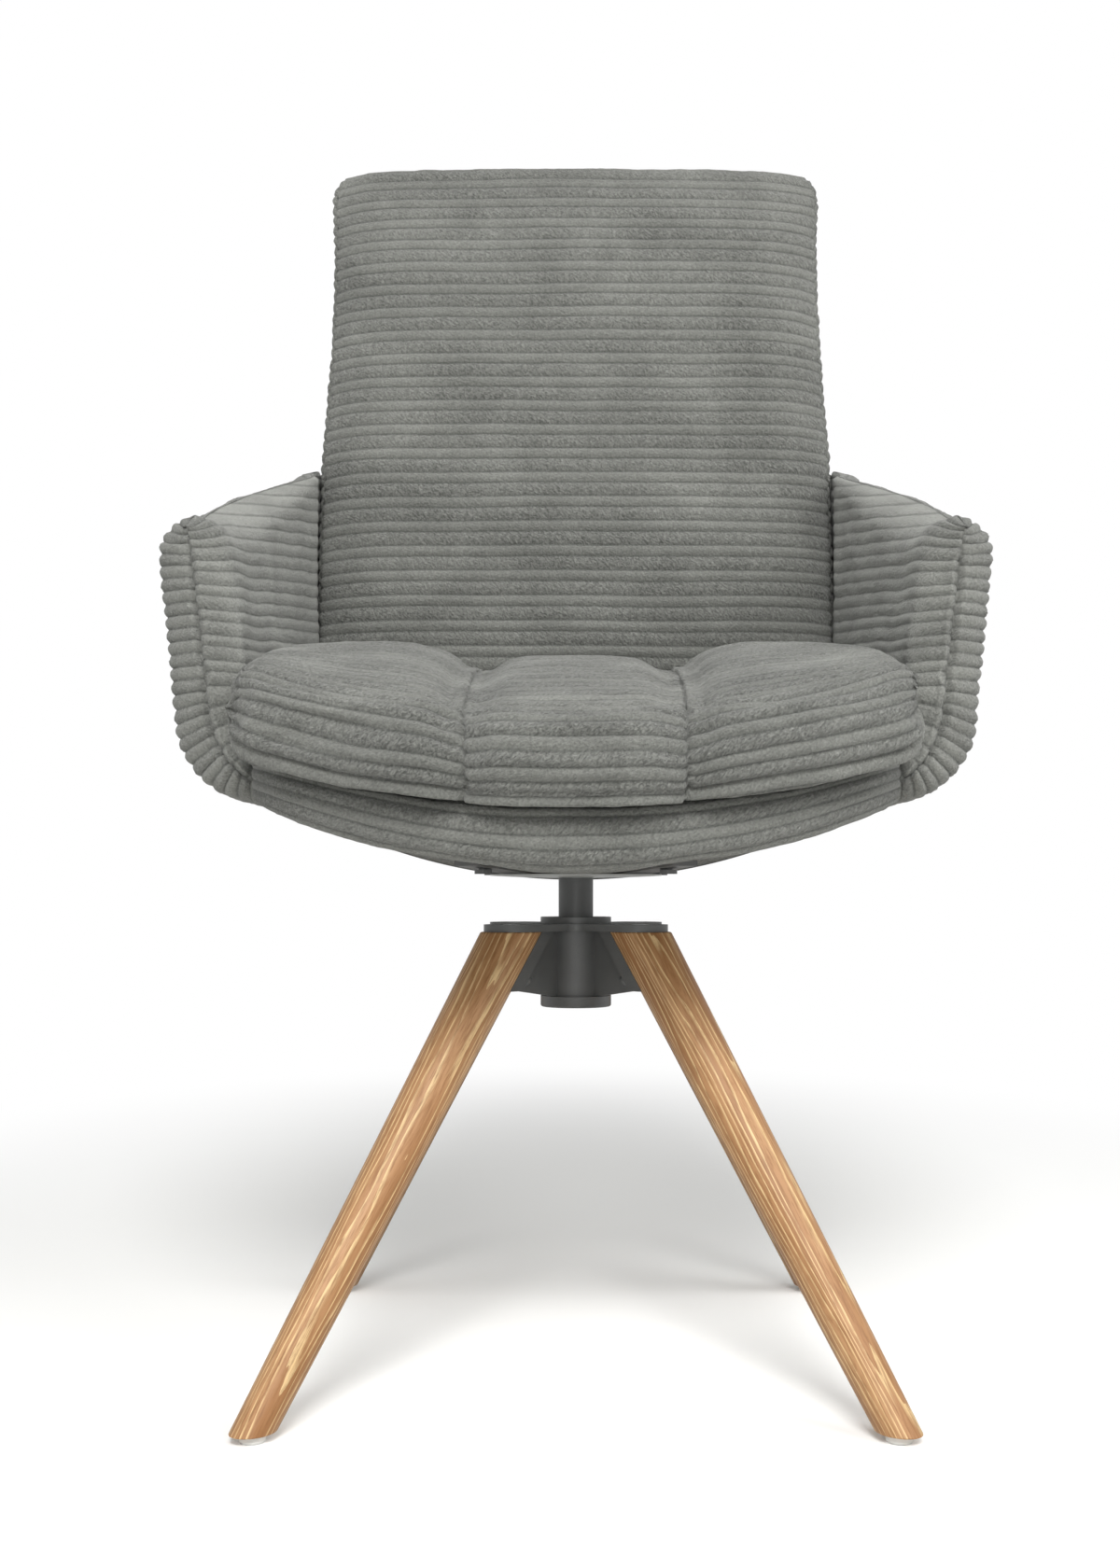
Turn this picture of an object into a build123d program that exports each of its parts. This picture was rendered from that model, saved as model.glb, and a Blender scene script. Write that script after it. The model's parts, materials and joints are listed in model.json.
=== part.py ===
from build123d import *
from math import atan2, cos, degrees, exp, hypot, radians, sin, tan
import os

os.makedirs("parts", exist_ok=True)

# Swivel armchair: four raked oak legs under a steel plate, a hub with a turning column, and an
# upholstered bucket with arms, a three-channel seat cushion and a raked back cushion.
# The floor is z = 0, the swivel axis is the Z axis, and the sitter faces -Y, so +X is their left.
# A reach is a distance in front of the swivel axis, and is negative behind it.

# Clearances and shared values
overrun = 20.0              # how far a cutting or trimmed shape runs past the piece
soft_gap = 0.3              # between soft pieces, and round what foam is moulded over
bolt_gap = 0.1              # round a bolt, screw or pin in its hole
running_gap = 0.05          # radial, between the column and its bushes
end_gap = 0.2               # axial, between turning and standing faces
legs_count = 4
first_leg_azimuth = 45.0
leg_names = ("rear_left", "rear_right", "front_right", "front_left")

# Glides and legs
glide_height = 5.5
glide_radius = 8.5
glide_round = 2.0
pin_radius = 1.5
pin_length = 20.0
leg_foot_reach = 279.0      # leg centre line from the swivel axis, on its foot cut
leg_top_reach = 64.0        # and on its top cut
leg_foot_radius = 12.8
leg_top_radius = 19.0
leg_edge_round = 1.5

# Base plate, hub and cradles
plate_z = 307.0             # underside of the plate
plate_thickness = 5.0
lobe_reach = 62.0
lobe_radius = 20.5
plate_inner_round = 8.0
hub_radius = 22.0
hub_bore_radius = 16.0
hub_bottom_z = 252.0
hub_ring_height = 8.0
hub_ring_radius = 25.5
hub_ring_round = 1.5
hub_floor_z = 262.0
hub_floor_thickness = 6.0
web_thickness = 6.0
web_foot_z = 259.0          # lower edge of a web at the hub
web_tip_rise = 8.0          # how much higher that edge is at the leg
cradle_width = 24.0
cradle_thickness = 5.0
cradle_wrap = 5.0           # how far a cradle laps round its leg
cradle_foot_z = 266.0
cradle_gap = 0.15

# Column, bushes and their fixings
column_radius = 12.5
column_wall = 3.0
bush_flange_radius = 25.5
bush_flange_height = 4.6
upper_bush_length = 22.0
lower_bush_length = 18.0
thrust_washer_thickness = 2.0
plug_length = 24.0
bolt_radius = 5.0
bolt_length = 30.0
bolt_head_radius = 8.5      # across the flats, halved
bolt_head_height = 5.6
washer_radius = 14.0
washer_thickness = 2.0

# Screws into the legs
top_screw_radius = 3.0
top_screw_head_radius = 6.0
top_screw_length = 24.0
cradle_screw_radius = 2.2
cradle_screw_head_radius = 4.0
cradle_screw_head_height = 2.5
cradle_screw_length = 22.0
cradle_screw_spread = 8.0   # each side of the web's middle plane
cradle_screw_z = 288.0

# Spider, its cover and its bolts
spider_z = 347.5
spider_thickness = 4.0
spider_flat_reach = 60.0
spider_tip_reach = 105.0
spider_tip_rise = 5.1
spider_arm_width = 26.0
spider_boss_radius = 19.0
spider_boss_height = 5.5
spider_bolt_reach = 90.0
spider_bolt_radius = 3.0
spider_bolt_head_radius = 6.0
spider_bolt_head_height = 3.0
spider_bolt_spare = 4.0     # thread above its tee nut, with the hollow over it
tee_nut_flange_radius = 9.0
tee_nut_flange_height = 1.5
tee_nut_barrel_radius = 4.2
tee_nut_barrel_length = 7.0
cover_radius = 62.0
cover_rim_height = 1.8
cover_dome_depth = 2.4
pocket_gap = 1.0            # round the spider, in the pad and the pan

# Bucket: the upholstered bowl that carries the cushions
bucket_half_width = 205.0   # its flat sides, where the arms start
bucket_under_z = 346.0
bucket_side_rise = 46.0     # underside at the sides above the middle
bucket_top_z = 384.7
bucket_top_rise = 33.0
bucket_front_reach = 262.0
bucket_corner_reach = 150.0     # where the bowed lip meets the flat sides
bucket_rear_reach = -230.0
bucket_corner_round = 45.0
bucket_lip_round = 9.0
pan_offset = 6.0            # pan above the bucket's underside
pan_thickness = 10.0
pan_half_width = 170.0
pan_front_reach = 180.0
pan_rear_reach = -164.0

# Back: everything is set out from the flat back plane, raked from its foot
back_foot_reach = -178.0
back_foot_z = 400.0
back_rake = 9.0             # degrees
board_thickness = 8.0
board_half_width = 180.0
board_bottom = 2.0
board_top = 520.0
board_corner = 30.0
bracket_half_width = 40.0
bracket_thickness = 4.0
bracket_front_reach = -75.0
bracket_height = 210.0
bracket_screw_radius = 2.5
bracket_screw_head_radius = 5.0
bracket_screw_head_height = 2.0
bracket_screw_length = 10.0
bracket_screw_pitch = 50.0
bracket_first_screw = 70.0
bracket_screw_x = 25.0
bracket_foot_screw_reach = -110.0
outer_pad_half_width = 204.0
outer_pad_top = 547.0
outer_pad_thickness = 27.0
outer_pad_round = 10.0
outer_pad_top_round = 18.0

# Back cushion
back_cushion_bottom = 73.0
back_cushion_top = 563.0
back_cushion_top_bow = 8.0
back_cushion_thickness = 52.0
back_cushion_edge = 30.0    # thickness at the piped side edge
back_cushion_half_width = 206.5
back_cushion_corner = 16.0

# Arms
arm_front_reach = 152.0
arm_rear_reach = -240.0
arm_front_top_z = 588.0
arm_rear_top_z = 692.0
arm_inner_front = 231.0     # inner face from the middle, at the front and at the rear
arm_inner_rear = 207.2
arm_outer_front = 273.0
arm_outer_rear = 238.0
arm_low_outer_front = 263.0
arm_low_outer_rear = 238.0
arm_low_inner = 206.8
arm_low_z = 436.0
tube_radius = 6.0
tube_bend_radius = 24.0
hoop_front_reach = 92.0
hoop_rear_reach = -128.0
hoop_start_x = 158.0
hoop_edge_spare = 2.0       # how far past the pan's edge it stays level with the pan
hoop_height = 6.6           # its centre line above the pan's top
hoop_corner_x = 212.0
hoop_corner_z = 404.5
hoop_front_low_x = 240.0
hoop_front_low_z = 432.0
hoop_front_top_x = 252.0
hoop_front_top_z = 562.0
hoop_rear_low_x = 228.0
hoop_rear_low_z = 432.0
hoop_rear_top_x = 225.0
hoop_rear_top_z = 628.0
tab_inner_x = 112.0
tab_outer_x = 169.0
tab_half_length = 15.0
tab_thickness = 3.0
tab_screw_radius = 2.0
tab_screw_head_radius = 3.6
tab_screw_head_height = 2.0
tab_screw_length = 9.0
tab_screw_x = 126.0

# Seat cushion
cushion_front_reach = 290.0
cushion_end_reach = 240.0
cushion_rear_reach = -175.0
cushion_half_width = 206.0
cushion_bottom_z = 385.2
cushion_bottom_rise = 33.0
cushion_crown_z = 494.0
cushion_outer_crown_rise = 5.0
cushion_rear_z = 458.0
cushion_nose_z = 448.0
cushion_nose_reach = 262.0
cushion_foot_inset = 14.0
cushion_channel_depth = 12.0
cushion_channel_pull = 8.0
cushion_mid_reach = 110.0
cushion_pinch_z = 436.0

# Shapes as shares. An arm's slices: how far back, how far its top has risen, how far it has
# drawn in from its front width to its rear width, how thick and how tall
arm_shares = (
    (0.0, -0.03, 0.05, 0.34, 0.93),
    (0.022, -0.03, 0.0, 0.80, 0.985),
    (0.062, -0.02, -0.04, 1.0, 1.0),
    (0.133, 0.01, -0.17, 1.0, 1.0),
    (0.235, 0.125, -0.23, 1.0, 1.0),
    (0.45, 0.394, 0.20, 1.0, 1.0),
    (0.592, 0.558, 0.61, 1.0, 1.0),
    (0.821, 0.81, 0.92, 1.0, 1.0),
    (1.0, 1.0, 1.0, 1.0, 1.0),
)
arm_corner_out_share = 0.70
arm_corner_up_share = 0.36
lip_corner_reach_share = 0.60
lip_corner_width_share = 0.86

# The back cushion is thinner at its top and bottom, and the seat cushion at its two ends: the
# number of slices, how the thickness falls off, and how thick the last slice is
back_slices = 20
back_fall_power = 4
back_end_share = 0.45
seat_slices = 32
channel_share = 0.3125      # a sewn channel's place, from the middle to the end
channel_width_share = 0.070
outer_crown_start_share = 0.30
outer_crown_full_share = 0.55
end_round_share = 0.20
end_plump_share = 0.50

column_bottom_z = hub_floor_z + hub_floor_thickness + thrust_washer_thickness + end_gap
column_top_z = spider_z + spider_thickness + spider_boss_height
plate_top_z = plate_z + plate_thickness
leg_run = leg_foot_reach - leg_top_reach
leg_rise = plate_z - glide_height
leg_length = hypot(leg_run, leg_rise)
leg_tilt = degrees(atan2(leg_run, leg_rise))
pieces = {}


def finish(builder, name):
    """Labels a finished piece and writes it as its own file."""
    builder.part.label = name
    pieces[name] = builder.part
    export_step(builder.part, f"parts/{name}.step")


def radial(azimuth, reach, z):
    """The point at that reach from the swivel axis, in that direction."""
    return Vector(reach * cos(radians(azimuth)), reach * sin(radians(azimuth)), z)


def radial_plane(azimuth):
    """The upright plane through the swivel axis: local x runs outwards and local y up."""
    outwards = radial(azimuth, 1, 0)
    return Plane(origin=(0, 0, 0), x_dir=outwards, z_dir=outwards.cross(Vector(0, 0, 1)))


def leg_plane(azimuth):
    """The plane square to a leg's centre line, at its foot."""
    foot = radial(azimuth, leg_foot_reach, glide_height)
    top = radial(azimuth, leg_top_reach, plate_z)
    return Plane(origin=foot, x_dir=radial(azimuth + 90, 1, 0), z_dir=top - foot)


def leg_cone(azimuth, growth, mode):
    """The leg's cone, run past both of its cuts."""
    slope = (leg_top_radius - leg_foot_radius) / leg_length
    spare = slope * overrun
    with Locations(leg_plane(azimuth).offset(-overrun)):
        Cone(
            leg_foot_radius - spare + growth,
            leg_top_radius + spare + growth,
            leg_length + 2 * overrun,
            align=(Align.CENTER, Align.CENTER, Align.MIN),
            mode=mode,
        )


def cradle_screw_planes(azimuth):
    """Where a leg's two cradle screws enter, square to the leg, one each side of the web."""
    share = (cradle_screw_z - glide_height) / leg_rise
    middle = radial(azimuth, leg_foot_reach - leg_run * share, cradle_screw_z)
    outwards = radial(azimuth, cos(radians(leg_tilt)), sin(radians(leg_tilt)))
    sideways = radial(azimuth + 90, 1, 0)
    start = middle - outwards * (leg_top_radius + cradle_thickness + bolt_gap)
    return [
        Plane(origin=start + sideways * spread, x_dir=sideways, z_dir=outwards)
        for spread in (-cradle_screw_spread, cradle_screw_spread)
    ]


def bowl(x, middle_z, side_rise):
    """Height of a bowl's round surface at x, where the bucket's flat sides are side_rise higher."""
    bowl_radius = (bucket_half_width**2 + side_rise**2) / (2 * side_rise)
    return middle_z + bowl_radius - (bowl_radius**2 - x**2) ** 0.5


def between(start, end, share):
    """The value that far from start to end."""
    return start + (end - start) * share


azimuths = [first_leg_azimuth + 360 / legs_count * n for n in range(legs_count)]

# Legs: tapered oak, cut level at both ends
for name, azimuth in zip(leg_names, azimuths):
    with BuildPart() as leg:
        leg_cone(azimuth, 0, Mode.ADD)
        split(bisect_by=Plane.XY.offset(plate_z), keep=Keep.BOTTOM)
        split(bisect_by=Plane.XY.offset(glide_height), keep=Keep.TOP)
        fillet(leg.edges().group_by(Axis.Z)[0], leg_edge_round)
        with Locations(radial(azimuth, leg_foot_reach, glide_height)):
            Cylinder(pin_radius + bolt_gap, 2 * pin_length, mode=Mode.SUBTRACT)
        with Locations(radial(azimuth, leg_top_reach, plate_z)):
            Cylinder(top_screw_radius + bolt_gap, 2 * top_screw_length, mode=Mode.SUBTRACT)
        with Locations(*cradle_screw_planes(azimuth)):
            Cylinder(
                cradle_screw_radius + bolt_gap,
                cradle_screw_length + overrun,
                align=(Align.CENTER, Align.CENTER, Align.CENTER),
                mode=Mode.SUBTRACT,
            )
    finish(leg, f"leg_{name}")

# Glides: white plastic discs under the legs
for name, azimuth in zip(leg_names, azimuths):
    with BuildPart() as glide:
        with Locations(radial(azimuth, leg_foot_reach, 0)):
            Cylinder(glide_radius, glide_height, align=(Align.CENTER, Align.CENTER, Align.MIN))
        fillet(glide.edges().group_by(Axis.Z)[0], glide_round)
        with Locations(radial(azimuth, leg_foot_reach, glide_height)):
            Cylinder(pin_radius, glide_height, mode=Mode.SUBTRACT)
    finish(glide, f"glide_{name}")

# Glide pins: one nail up into each leg
with BuildPart() as glide_pins:
    for azimuth in azimuths:
        with Locations(radial(azimuth, leg_foot_reach, glide_height / 2)):
            Cylinder(
                pin_radius,
                pin_length - glide_height / 2,
                align=(Align.CENTER, Align.CENTER, Align.MIN),
            )
finish(glide_pins, "glide_pins")

# Base plate: four lobes, one over each leg
with BuildPart() as base_plate:
    with BuildSketch(Plane.XY.offset(plate_z)) as plate_outline:
        with PolarLocations(lobe_reach / 2, legs_count, start_angle=first_leg_azimuth):
            SlotCenterToCenter(lobe_reach, 2 * lobe_radius)
        inner_corners = plate_outline.vertices().sort_by_distance((0, 0, 0))[:legs_count]
        fillet(inner_corners, plate_inner_round)
        Circle(hub_bore_radius, mode=Mode.SUBTRACT)
    extrude(amount=plate_thickness)
    with Locations(Plane.XY.offset(plate_top_z)):
        with PolarLocations(leg_top_reach, legs_count, start_angle=first_leg_azimuth):
            CounterSinkHole(top_screw_radius + bolt_gap, top_screw_head_radius + bolt_gap)
finish(base_plate, "base_plate")

# Hub casting: the bored hub, its bottom ring, four webs and four leg cradles
with BuildPart() as hub_casting:
    with BuildSketch(Plane.XY.offset(hub_bottom_z)):
        Circle(hub_ring_radius)
    extrude(amount=hub_ring_height)
    fillet(hub_casting.edges().group_by(Axis.Z)[0], hub_ring_round)
    with BuildSketch(Plane.XY.offset(hub_bottom_z)):
        Circle(hub_radius)
    extrude(amount=plate_z - hub_bottom_z)
    cradle_inset = leg_top_radius / cos(radians(leg_tilt))
    cradle_back = cradle_thickness / cos(radians(leg_tilt))
    cradle_lap = cradle_wrap / cos(radians(leg_tilt))
    cradle_slope = tan(radians(leg_tilt))
    for azimuth in azimuths:
        cradle_top = leg_top_reach - cradle_inset
        cradle_foot = cradle_top + (plate_z - cradle_foot_z) * cradle_slope
        web_tip_z = web_foot_z + web_tip_rise
        web_tip = cradle_top + (plate_z - web_tip_z) * cradle_slope
        with BuildSketch(radial_plane(azimuth)):
            Polygon(
                (hub_bore_radius, web_foot_z),
                (web_tip, web_tip_z),
                (cradle_top, plate_z),
                (hub_bore_radius, plate_z),
                align=None,
            )
        extrude(amount=web_thickness / 2, both=True)
        with BuildSketch(radial_plane(azimuth)):
            Polygon(
                (cradle_top - cradle_back, plate_z),
                (cradle_foot - cradle_back, cradle_foot_z),
                (cradle_foot + cradle_lap, cradle_foot_z),
                (cradle_top + cradle_lap, plate_z),
                align=None,
            )
        extrude(amount=cradle_width / 2, both=True)
    for azimuth in azimuths:
        leg_cone(azimuth, cradle_gap, Mode.SUBTRACT)
        with Locations(*cradle_screw_planes(azimuth)):
            Cylinder(
                cradle_screw_radius + bolt_gap,
                cradle_screw_length,
                mode=Mode.SUBTRACT,
            )
    with BuildSketch(Plane.XY.offset(hub_floor_z + hub_floor_thickness)):
        Circle(hub_bore_radius)
    extrude(amount=plate_z - hub_floor_z - hub_floor_thickness, mode=Mode.SUBTRACT)
    with BuildSketch(Plane.XY.offset(hub_bottom_z)):
        Circle(hub_bore_radius)
    extrude(amount=hub_floor_z - hub_bottom_z, mode=Mode.SUBTRACT)
    with BuildSketch(Plane.XY.offset(hub_floor_z)):
        Circle(bolt_radius + end_gap)
    extrude(amount=hub_floor_thickness, mode=Mode.SUBTRACT)
finish(hub_casting, "hub_casting")

# Countersunk screws down through the plate into the legs
with BuildPart() as leg_top_screws:
    for azimuth in azimuths:
        with Locations(radial(azimuth, leg_top_reach, plate_top_z)):
            Cylinder(
                top_screw_radius,
                top_screw_length,
                align=(Align.CENTER, Align.CENTER, Align.MAX),
            )
            Cone(
                top_screw_radius,
                top_screw_head_radius,
                top_screw_head_radius - top_screw_radius,
                align=(Align.CENTER, Align.CENTER, Align.MAX),
            )
finish(leg_top_screws, "leg_top_screws")

# Pan-head screws from inside each cradle into its leg
with BuildPart() as cradle_screws:
    for azimuth in azimuths:
        for plane in cradle_screw_planes(azimuth):
            with Locations(plane):
                Cylinder(
                    cradle_screw_radius,
                    cradle_screw_length / 2,
                    align=(Align.CENTER, Align.CENTER, Align.MIN),
                )
                Cylinder(
                    cradle_screw_head_radius,
                    cradle_screw_head_height,
                    align=(Align.CENTER, Align.CENTER, Align.MAX),
                )
finish(cradle_screws, "cradle_screws")

# Upper bush: a sleeve in the hub, with the wide flange that shows on top of the plate
with BuildPart() as hub_upper_bush:
    with BuildSketch(Plane.XY.offset(plate_top_z)):
        Circle(bush_flange_radius)
    extrude(amount=bush_flange_height)
    with BuildSketch(Plane.XY.offset(plate_top_z)):
        Circle(hub_bore_radius - running_gap)
    extrude(amount=-upper_bush_length)
    with BuildSketch(Plane.XY.offset(plate_top_z - upper_bush_length)):
        Circle(column_radius + running_gap)
    extrude(amount=upper_bush_length + bush_flange_height, mode=Mode.SUBTRACT)
finish(hub_upper_bush, "hub_upper_bush")

# Thrust washer on the hub's floor, and the lower bush round the column's foot
with BuildPart() as thrust_washer:
    with BuildSketch(Plane.XY.offset(hub_floor_z + hub_floor_thickness)):
        Circle(hub_bore_radius - running_gap)
        Circle(bolt_radius + end_gap, mode=Mode.SUBTRACT)
    extrude(amount=thrust_washer_thickness)
finish(thrust_washer, "thrust_washer")

with BuildPart() as hub_lower_bush:
    with BuildSketch(Plane.XY.offset(hub_floor_z + hub_floor_thickness + thrust_washer_thickness)):
        Circle(hub_bore_radius - running_gap)
        Circle(column_radius + running_gap, mode=Mode.SUBTRACT)
    extrude(amount=lower_bush_length)
finish(hub_lower_bush, "hub_lower_bush")

# Column: the steel tube that turns in the bushes and carries the seat
with BuildPart() as column:
    with BuildSketch(Plane.XY.offset(column_bottom_z)):
        Circle(column_radius)
        Circle(column_radius - column_wall, mode=Mode.SUBTRACT)
    extrude(amount=column_top_z - column_bottom_z)
finish(column, "column")

with BuildPart() as column_plug:
    with BuildSketch(Plane.XY.offset(column_bottom_z)):
        Circle(column_radius - column_wall)
        Circle(bolt_radius + bolt_gap, mode=Mode.SUBTRACT)
    extrude(amount=plug_length)
finish(column_plug, "column_plug")

# Retaining washer and bolt: they hold the column down from under the hub's floor
with BuildPart() as retaining_washer:
    with BuildSketch(Plane.XY.offset(hub_floor_z - end_gap)):
        Circle(washer_radius)
        Circle(bolt_radius + bolt_gap, mode=Mode.SUBTRACT)
    extrude(amount=-washer_thickness)
finish(retaining_washer, "retaining_washer")

with BuildPart() as retaining_bolt:
    with BuildSketch(Plane.XY.offset(hub_floor_z - end_gap - washer_thickness)):
        RegularPolygon(bolt_head_radius, 6, major_radius=False)
    extrude(amount=-bolt_head_height)
    with BuildSketch(Plane.XY.offset(hub_floor_z - end_gap - washer_thickness)):
        Circle(bolt_radius)
    extrude(amount=bolt_length)
finish(retaining_bolt, "retaining_bolt")

# Spider: four steel arms, bent up at their tips, and the boss that grips the column
with BuildPart() as spider:
    tip_foot_z = spider_z + spider_tip_rise
    for azimuth in azimuths:
        with BuildSketch(radial_plane(azimuth)):
            Polygon(
                (0, spider_z),
                (spider_flat_reach, spider_z),
                (spider_tip_reach, tip_foot_z),
                (spider_tip_reach, tip_foot_z + spider_thickness),
                (spider_flat_reach, spider_z + spider_thickness),
                (0, spider_z + spider_thickness),
                align=None,
            )
        extrude(amount=spider_arm_width / 2, both=True)
    with BuildSketch(Plane.XY.offset(spider_z)):
        Circle(spider_boss_radius)
    extrude(amount=spider_thickness + spider_boss_height)
    with BuildSketch(Plane.XY.offset(spider_z)):
        Circle(column_radius)
    extrude(amount=spider_thickness + spider_boss_height, mode=Mode.SUBTRACT)
    for azimuth in azimuths:
        with Locations(radial(azimuth, spider_bolt_reach, spider_z)):
            Cylinder(spider_bolt_radius + bolt_gap, 2 * overrun, mode=Mode.SUBTRACT)
finish(spider, "spider")

bolt_seat_share = (spider_bolt_reach - spider_bolt_head_radius - spider_flat_reach) / (
    spider_tip_reach - spider_flat_reach
)
bolt_seat_z = spider_z + spider_tip_rise * bolt_seat_share - bolt_gap
bolt_x = spider_bolt_reach * cos(radians(first_leg_azimuth))
tee_flange_z = bowl(bolt_x + tee_nut_flange_radius, bucket_under_z, bucket_side_rise)
tee_flange_z = tee_flange_z + pan_offset + pan_thickness

with BuildPart() as spider_bolts:
    for azimuth in azimuths:
        with Locations(radial(azimuth, spider_bolt_reach, bolt_seat_z)):
            Cylinder(
                spider_bolt_head_radius,
                spider_bolt_head_height,
                align=(Align.CENTER, Align.CENTER, Align.MAX),
            )
            Cylinder(
                spider_bolt_radius,
                tee_flange_z + tee_nut_flange_height + spider_bolt_spare / 2 - bolt_seat_z,
                align=(Align.CENTER, Align.CENTER, Align.MIN),
            )
finish(spider_bolts, "spider_bolts")

# Tee nuts: pressed into the pan from above, and the spider's bolts run into them
with BuildPart() as tee_nuts:
    for azimuth in azimuths:
        with Locations(radial(azimuth, spider_bolt_reach, tee_flange_z)):
            Cylinder(
                tee_nut_flange_radius,
                tee_nut_flange_height,
                align=(Align.CENTER, Align.CENTER, Align.MIN),
            )
            Cylinder(
                tee_nut_barrel_radius,
                tee_nut_barrel_length,
                align=(Align.CENTER, Align.CENTER, Align.MAX),
            )
            Cylinder(spider_bolt_radius + bolt_gap, 2 * overrun, mode=Mode.SUBTRACT)
finish(tee_nuts, "tee_nuts")

# Swivel cover: a shallow grey dish that hides the middle of the spider
with BuildPart() as swivel_cover:
    cover_rim_z = spider_z - soft_gap
    with BuildSketch(Plane.XZ):
        with BuildLine():
            inner_x = column_radius + end_gap
            inner_z = cover_rim_z - cover_dome_depth
            Line((inner_x, cover_rim_z), (cover_radius, cover_rim_z))
            Line((cover_radius, cover_rim_z), (cover_radius, cover_rim_z - cover_rim_height / 2))
            ThreePointArc(
                (cover_radius, cover_rim_z - cover_rim_height / 2),
                (cover_radius * cos(radians(45)), cover_rim_z - cover_rim_height),
                (inner_x, inner_z),
            )
            Line((inner_x, inner_z), (inner_x, cover_rim_z))
        make_face()
    revolve(axis=Axis.Z)
finish(swivel_cover, "swivel_cover")


def bowl_slab(half_width, under_z, under_rise, top_z, top_rise):
    """A face between two bowl arcs, closed by upright sides. Call it inside BuildSketch."""
    under_side = bowl(half_width, under_z, under_rise)
    top_side = bowl(half_width, top_z, top_rise)
    with BuildLine(mode=Mode.PRIVATE) as slab:
        ThreePointArc((-half_width, under_side), (0, under_z), (half_width, under_side))
        Line((half_width, under_side), (half_width, top_side))
        ThreePointArc((half_width, top_side), (0, top_z), (-half_width, top_side))
        Line((-half_width, top_side), (-half_width, under_side))
    make_face(slab.edges())


def back_point(up, behind, x=0):
    """A point set out from the back plane: up along it from its foot, and behind it."""
    lean = radians(back_rake)
    y = -back_foot_reach + up * sin(lean) + behind * cos(lean)
    return Vector(x, y, back_foot_z + up * cos(lean) - behind * sin(lean))


def back_level(up):
    """The plane square to the back's rise: local x runs to the sitter's left, local y backwards."""
    lean = radians(back_rake)
    return Plane(origin=back_point(up, 0), x_dir=(1, 0, 0), z_dir=(0, sin(lean), cos(lean)))


back_face = Plane(
    origin=back_point(0, 0),
    x_dir=(1, 0, 0),
    z_dir=(0, -cos(radians(back_rake)), sin(radians(back_rake))),
)


def to_up(z):
    """How far up the back plane a height lies."""
    return (z - back_foot_z) / cos(radians(back_rake))


def bracket_profile(growth):
    """The back bracket from the side: a foot under the pan and an upright behind the board."""
    foot_z = bucket_under_z + pan_offset
    near = board_thickness + soft_gap - growth
    far = board_thickness + soft_gap + bracket_thickness + growth
    inner = back_point(to_up(foot_z), near)
    outer = back_point(to_up(foot_z - bracket_thickness), far)
    upright_front = back_point(bracket_height + growth, near)
    upright_back = back_point(bracket_height + growth, far)
    Polygon(
        (-bracket_front_reach - growth, foot_z + growth),
        (inner.Y, foot_z + growth),
        (upright_front.Y, upright_front.Z),
        (upright_back.Y, upright_back.Z),
        (outer.Y, foot_z - bracket_thickness - growth),
        (-bracket_front_reach - growth, foot_z - bracket_thickness - growth),
        align=None,
    )


def pan_top(x):
    """Height of the pan's upper face at x."""
    return bowl(x, bucket_under_z, bucket_side_rise) + pan_offset + pan_thickness


def hoop(side, growth, mode):
    """One arm's bent tube and its two screw tabs: side is 1 for the sitter's left, -1 for right."""
    start_x, edge_x = hoop_start_x - growth, pan_half_width + hoop_edge_spare
    start_z, edge_z = pan_top(start_x) + hoop_height, pan_top(edge_x) + hoop_height
    with BuildLine(mode=Mode.PRIVATE) as tube_path:
        FilletPolyline(
            (side * start_x, -hoop_front_reach, start_z),
            (side * edge_x, -hoop_front_reach, edge_z),
            (side * hoop_corner_x, -hoop_front_reach, hoop_corner_z),
            (side * hoop_front_low_x, -hoop_front_reach, hoop_front_low_z),
            (side * hoop_front_top_x, -hoop_front_reach, hoop_front_top_z),
            (side * hoop_rear_top_x, -hoop_rear_reach, hoop_rear_top_z),
            (side * hoop_rear_low_x, -hoop_rear_reach, hoop_rear_low_z),
            (side * hoop_corner_x, -hoop_rear_reach, hoop_corner_z),
            (side * edge_x, -hoop_rear_reach, edge_z),
            (side * start_x, -hoop_rear_reach, start_z),
            radius=tube_bend_radius,
        )
    with BuildSketch(Plane(origin=tube_path.line @ 0, z_dir=tube_path.line % 0)) as tube_section:
        Circle(tube_radius + growth)
    sweep(tube_section.sketch, path=tube_path.line, mode=mode)
    for reach in (hoop_front_reach, hoop_rear_reach):
        inner_z, outer_z = pan_top(tab_inner_x) + bolt_gap, pan_top(tab_outer_x) + bolt_gap
        with BuildSketch(Plane.XZ.offset(reach)) as tab:
            Polygon(
                (side * (tab_inner_x - growth), inner_z - growth),
                (side * (tab_outer_x + growth), outer_z - growth),
                (side * (tab_outer_x + growth), outer_z + tab_thickness + growth),
                (side * (tab_inner_x - growth), inner_z + tab_thickness + growth),
                align=None,
            )
        extrude(tab.sketch, amount=tab_half_length + growth, both=True, mode=mode)


def tab_screw_spots():
    """The points where the tab screws' heads sit down on their tabs."""
    outer_share = (tab_screw_x + tab_screw_head_radius - tab_inner_x) / (tab_outer_x - tab_inner_x)
    rise = pan_top(tab_outer_x) - pan_top(tab_inner_x)
    seat_z = pan_top(tab_inner_x) + bolt_gap + rise * outer_share + tab_thickness + bolt_gap
    return [
        Vector(side * tab_screw_x, -reach, seat_z)
        for side in (1, -1)
        for reach in (hoop_front_reach, hoop_rear_reach)
    ]


def bracket_foot_spots():
    """Where the bracket's foot is screwed up into the pan."""
    foot_z = bucket_under_z + pan_offset - bracket_thickness - bolt_gap
    return [Vector(side * bracket_screw_x, -bracket_foot_screw_reach, foot_z) for side in (1, -1)]


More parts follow.
